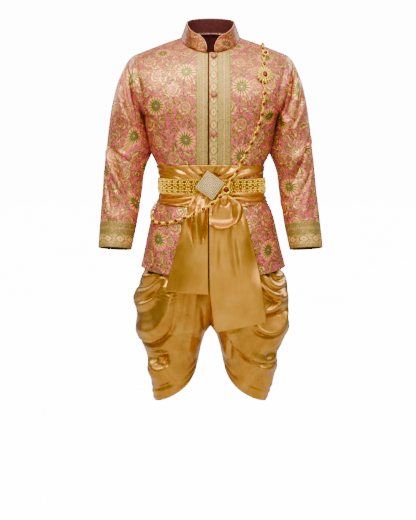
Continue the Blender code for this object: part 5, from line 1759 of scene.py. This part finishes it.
def make_chain():
    line, length = chain_line()
    count = round(length / GARNET_EVERY)
    scale = length / count / GARNET_EVERY
    stops = (np.arange(count) + FIRST_GARNET) * length / count

    def places_at(shift):
        spots = (stops + shift * scale) % length
        at, out = np.split(at_stops(spots, line), 2, axis=1)
        ahead = at_stops((spots + 0.003) % length, line) - at_stops((spots - 0.003) % length, line)
        ahead = unit(ahead[:, :3])
        made = []
        for a, u, o in zip(at, ahead, out):
            u, o = Vector(u), Vector(o)
            o = (o - u * o.dot(u)).normalized()
            turn = Matrix((u, o.cross(u), o)).transposed().to_4x4()
            made.append(Matrix.Translation(a) @ turn)
        return made

    parts = [repeated("bezels", torus(*BEZEL, stretch=1.25, around=16), places_at(0))]
    cup = half_ball(CUP_SIZE, segments=12)
    cup.data.transform(Matrix.Rotation(math.pi, 4, "X"))
    parts.append(repeated("cups", cup, places_at(0)))
    for shift in RINGS_AT:
        parts.append(repeated("rings", torus(*RING, stretch=0.85), places_at(shift)))
    for shift in BARRELS_AT:
        ribs = [
            torus(radius, BARREL_RIB, (x, 0, 0), (0, math.radians(90), 0), around=12, across=5)
            for x, radius in BARREL_RIBS
        ]
        parts.append(repeated("barrels", joined("barrel", [ball(BARREL_SIZE)] + ribs), places_at(shift)))
    parts.append(repeated("balls", ball(BALL_SIZE, segments=8, rings=6), places_at(BALLS_AT)))
    metal = dressed(joined("chain_links", parts), GILT)
    garnet = make_garnet("garnet glass", "#820004", "#4C0002")
    bead = ball(GARNET_SIZE, (0, 0, GARNET_RISE), 14, 10)
    beads = repeated("chain_garnets", bead, places_at(0), garnet)
    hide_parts("chain")
    for piece in (metal, beads):
        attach(piece, "root")


make_chain()

# ------------------------------------------------------------------------------ brooch and pendant
# A gilt sunburst brooch pinned where the chain meets the chest, with a ruby in its middle and dark
# stones along its lower rim, a smaller ruby above it, and a large ruby hanging by the buckle.
BROOCH_RADIUS = 0.026
BROOCH_X, BROOCH_Z, BROOCH_OFF = 0.157, -0.124, 0.01
BROOCH_BASE, RAYS = 0.0016, 16
RAY_SIZE, RAY_LIFT = (0.0082, 0.0031, 0.0038), 0.0012
INNER_RAY_SIZE, INNER_RAY_RING, INNER_RAY_LIFT = (0.0042, 0.0018, 0.0034), 0.0134, 0.0026
CENTRE_SIZES, CENTRE_SHAPE, CENTRE_LIFT = (0.0118, 0.0096, 0.0052), (0.86, 1.08, 1, 1), 0.0032
DROP, LOWER_STONE = 0.0012, (0.0016, 0.0016, 0.0014)
LOWER_RING, LOWER_LIFT, LOWER_PLACES, LOWER_STONES = 0.0205, 0.0034, 24, range(14, 23)
RING_THICK, EDGE_BEAD, EDGE_BEADS = 0.0016, 0.001, 22

# The two smaller rubies, by where they lie and by their radius, their stone's radius and its height.
PENDANT_AT, PENDANT_SIZES = (0.042, -0.456, 0.027), (0.0115, 0.0084, 0.0062)
STUD_AT, STUD_SIZES, STUD_FORWARD = (0.16, -0.062, 0.012), (0.0086, 0.0066, 0.005), 2.0
BRIGHT_GILT = make_gilt("bright gilt", "#FFE434", "#FFCC1C", "#9A5C0C")
RUBY = make_garnet("ruby glass", "#720002", "#560001")


def stone_in_ring(name, radius, stone, tall):
    """A round ruby in a gilt ring with a beaded edge."""
    ring = torus(radius - RING_THICK, RING_THICK, (0, 0, tall * 0.35), around=32, across=8)
    bead = ball((EDGE_BEAD, EDGE_BEAD, EDGE_BEAD), segments=8, rings=6)
    edge = repeated("beads", bead, ring_of(EDGE_BEADS, radius - 0.0008, (0, 0, tall * 0.5)))
    cup = half_ball((radius - 0.0012, radius - 0.0012, tall * 0.5), segments=24)
    metal = dressed(joined(name, [ring, edge, cup]), BRIGHT_GILT)
    gem = half_ball((stone, stone, tall), segments=24, rings=14)
    gem.name = name + "_ruby"
    gem.data.materials.append(RUBY)
    return metal, gem


def make_brooch():
    at, facing = lying_on(BROOCH_X, BROOCH_Z, BROOCH_OFF)
    place = facing_place(at, facing)
    bpy.ops.mesh.primitive_cylinder_add(
        vertices=48, radius=BROOCH_RADIUS * 0.86, depth=BROOCH_BASE, location=(0, 0, BROOCH_BASE / 2)
    )
    base = bpy.context.object
    ray = half_ball(RAY_SIZE, segments=10, rings=8)
    rays = repeated("rays", ray, ring_of(RAYS, BROOCH_RADIUS - RAY_SIZE[0], (0, 0, RAY_LIFT)))
    inner = half_ball(INNER_RAY_SIZE)
    inner = repeated("inner_rays", inner, ring_of(RAYS, INNER_RAY_RING, (0, 0, INNER_RAY_LIFT)))
    drop = ball((DROP, DROP, DROP), segments=8, rings=6)
    drops = repeated("drops", drop, ring_of(RAYS, BROOCH_RADIUS - DROP, (0, 0, BROOCH_BASE)))
    for piece in (rays, inner, drops):
        piece.data.materials.append(BRIGHT_GILT)
    # The base takes the darker gilt as painted shade between the rays.
    base.data.materials.append(GILT_SHADE)
    sun = joined("brooch_sun", [rays, inner, drops, base])
    ring, gem = stone_in_ring("brooch_centre", *CENTRE_SIZES)
    for piece in (ring, gem):
        piece.data.transform(Matrix.Diagonal(CENTRE_SHAPE))
        piece.data.transform(Matrix.Translation((0, 0, CENTRE_LIFT)))
    stone = half_ball(LOWER_STONE, segments=8)
    places = ring_of(LOWER_PLACES, LOWER_RING, (0, 0, LOWER_LIFT))
    lower = [places[k] for k in LOWER_STONES]
    stones = repeated("brooch_garnets", stone, lower, make_garnet("dark garnet", "#5A0406", "#240103"))
    for piece in (sun, ring, gem, stones):
        piece.matrix_world = place
        settle(piece)
    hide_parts("brooch")


def make_ruby(name, lies, sizes, forward=0.0):
    """A ruby in its ring on the jacket, turned to face more to the front where forward is above 0."""
    at, facing = lying_on(*lies)
    facing = unit(facing - np.array([0, forward, 0]))
    ring, gem = stone_in_ring(name, *sizes)
    for piece, slot in ((ring, "gilt"), (gem, "ruby_glass")):
        piece.matrix_world = facing_place(at, facing)
        settle(piece)
    return ring


make_brooch()
pendant = make_ruby("chain_pendant_ring", PENDANT_AT, PENDANT_SIZES)
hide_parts("chain_pendant")
make_ruby("chain_stud", STUD_AT, STUD_SIZES, STUD_FORWARD)

# ------------------------------------------------------------------------------ stage
# A pale floor under the suit, which stands in the air as if worn. Soft light comes from the front left
# and from wide strips above, with a fill from the right and two rims behind.
FLOOR_Z, FLOOR_SIZE, FLOOR_GLOW = -1.46, 24, 15.0
CAMERA_AT = (-0.00775, -3.2, -0.25)
CAMERA_DOWN = math.radians(7.688)
LENS = 72.11
LIGHTS = (
    ("key", (-1.5, -2.4, 1.9), (1.5, 1.5), 100.0, "#FFF6E8"),
    ("strip", (-0.3, -2.5, 2.1), (3.8, 0.5), 120.0, "#FFF8EC"),
    ("fill", (1.8, -2.3, 1.3), (1.5, 1.5), 44.0, "#FFFAF2"),
    ("front", (0.2, -3.7, -0.4), (2.0, 2.0), 18.0, "#FFFFFF"),
    ("top", (0.0, -1.1, 2.3), (3.0, 1.2), 46.0, "#FFFFFF"),
    ("left_rim", (-1.9, 1.4, 0.8), (1.2, 1.2), 40.0, "#FFFFFF"),
    ("right_rim", (1.9, 1.4, 0.8), (1.2, 1.2), 40.0, "#FFFFFF"),
)
TARGET = Vector((0.0, 0.0, -0.55))
WORLD_LOW, WORLD_HIGH, WORLD_SEEN = 0.08, 0.8, 14.0


def make_stage():
    bpy.ops.mesh.primitive_plane_add(size=FLOOR_SIZE, location=(0, 0, FLOOR_Z))
    floor = bpy.context.object
    floor.name = "floor"
    material, add, shader = begin_material("pale floor", roughness=0.7)
    spot = add("TexCoord")["Object"]
    cloudy = add("TexNoise", {0: spot, "Scale": 2.0, "Detail": 4.0})[0]
    colour = add("ValToRGB", cloudy, stops=((0.3, "#B4B4B2"), (0.7, "#BCBCBA")), soft=True)[0]
    bright = add("ValToRGB", cloudy, stops=((0.3, "#F6F6F5"), (0.7, "#FBFBFA")), soft=True)[0]
    glow = add("Math MULTIPLY", add("LightPath")["Is Camera Ray"], FLOOR_GLOW)[0]
    wire(shader, base_color=colour, emission_color=bright, emission_strength=glow)
    floor.data.materials.append(material)

    for name, at, size, power, colour in LIGHTS:
        lamp = bpy.data.lights.new(name, "AREA")
        lamp.shape, (lamp.size, lamp.size_y), lamp.energy = "RECTANGLE", size, power
        lamp.color = linear(colour)[:3]
        light = put(name, lamp)
        light.location = at
        light.rotation_euler = (TARGET - Vector(at)).to_track_quat("-Z", "Y").to_euler()

    world = bpy.data.worlds.new("studio")
    world.use_nodes = True
    bpy.context.scene.world = world
    tree = world.node_tree
    add = partial(add_node, tree)
    lit = tree.nodes["Background"]
    lit.inputs["Color"].default_value = linear("#FFFFFF")
    upward = add("SeparateXYZ", add("TexCoord")["Generated"])[2]
    upward = add("MapRange", upward, -0.2, 0.8, WORLD_LOW, WORLD_HIGH)[0]
    tree.links.new(upward, lit.inputs["Strength"])
    seen = add("Background", {"Color": "#FFFFFF", "Strength": WORLD_SEEN})[0]
    direct = add("LightPath")["Is Camera Ray"]
    mixed = add("MixShader", direct, lit.outputs[0], seen)[0]
    tree.links.new(mixed, tree.nodes["World Output"].inputs["Surface"])

    lens = bpy.data.cameras.new("camera")
    lens.lens = LENS
    camera = put("camera", lens)
    camera.location = CAMERA_AT
    camera.rotation_euler = (math.radians(90) - CAMERA_DOWN, 0, 0)
    bpy.context.scene.camera = camera


make_stage()
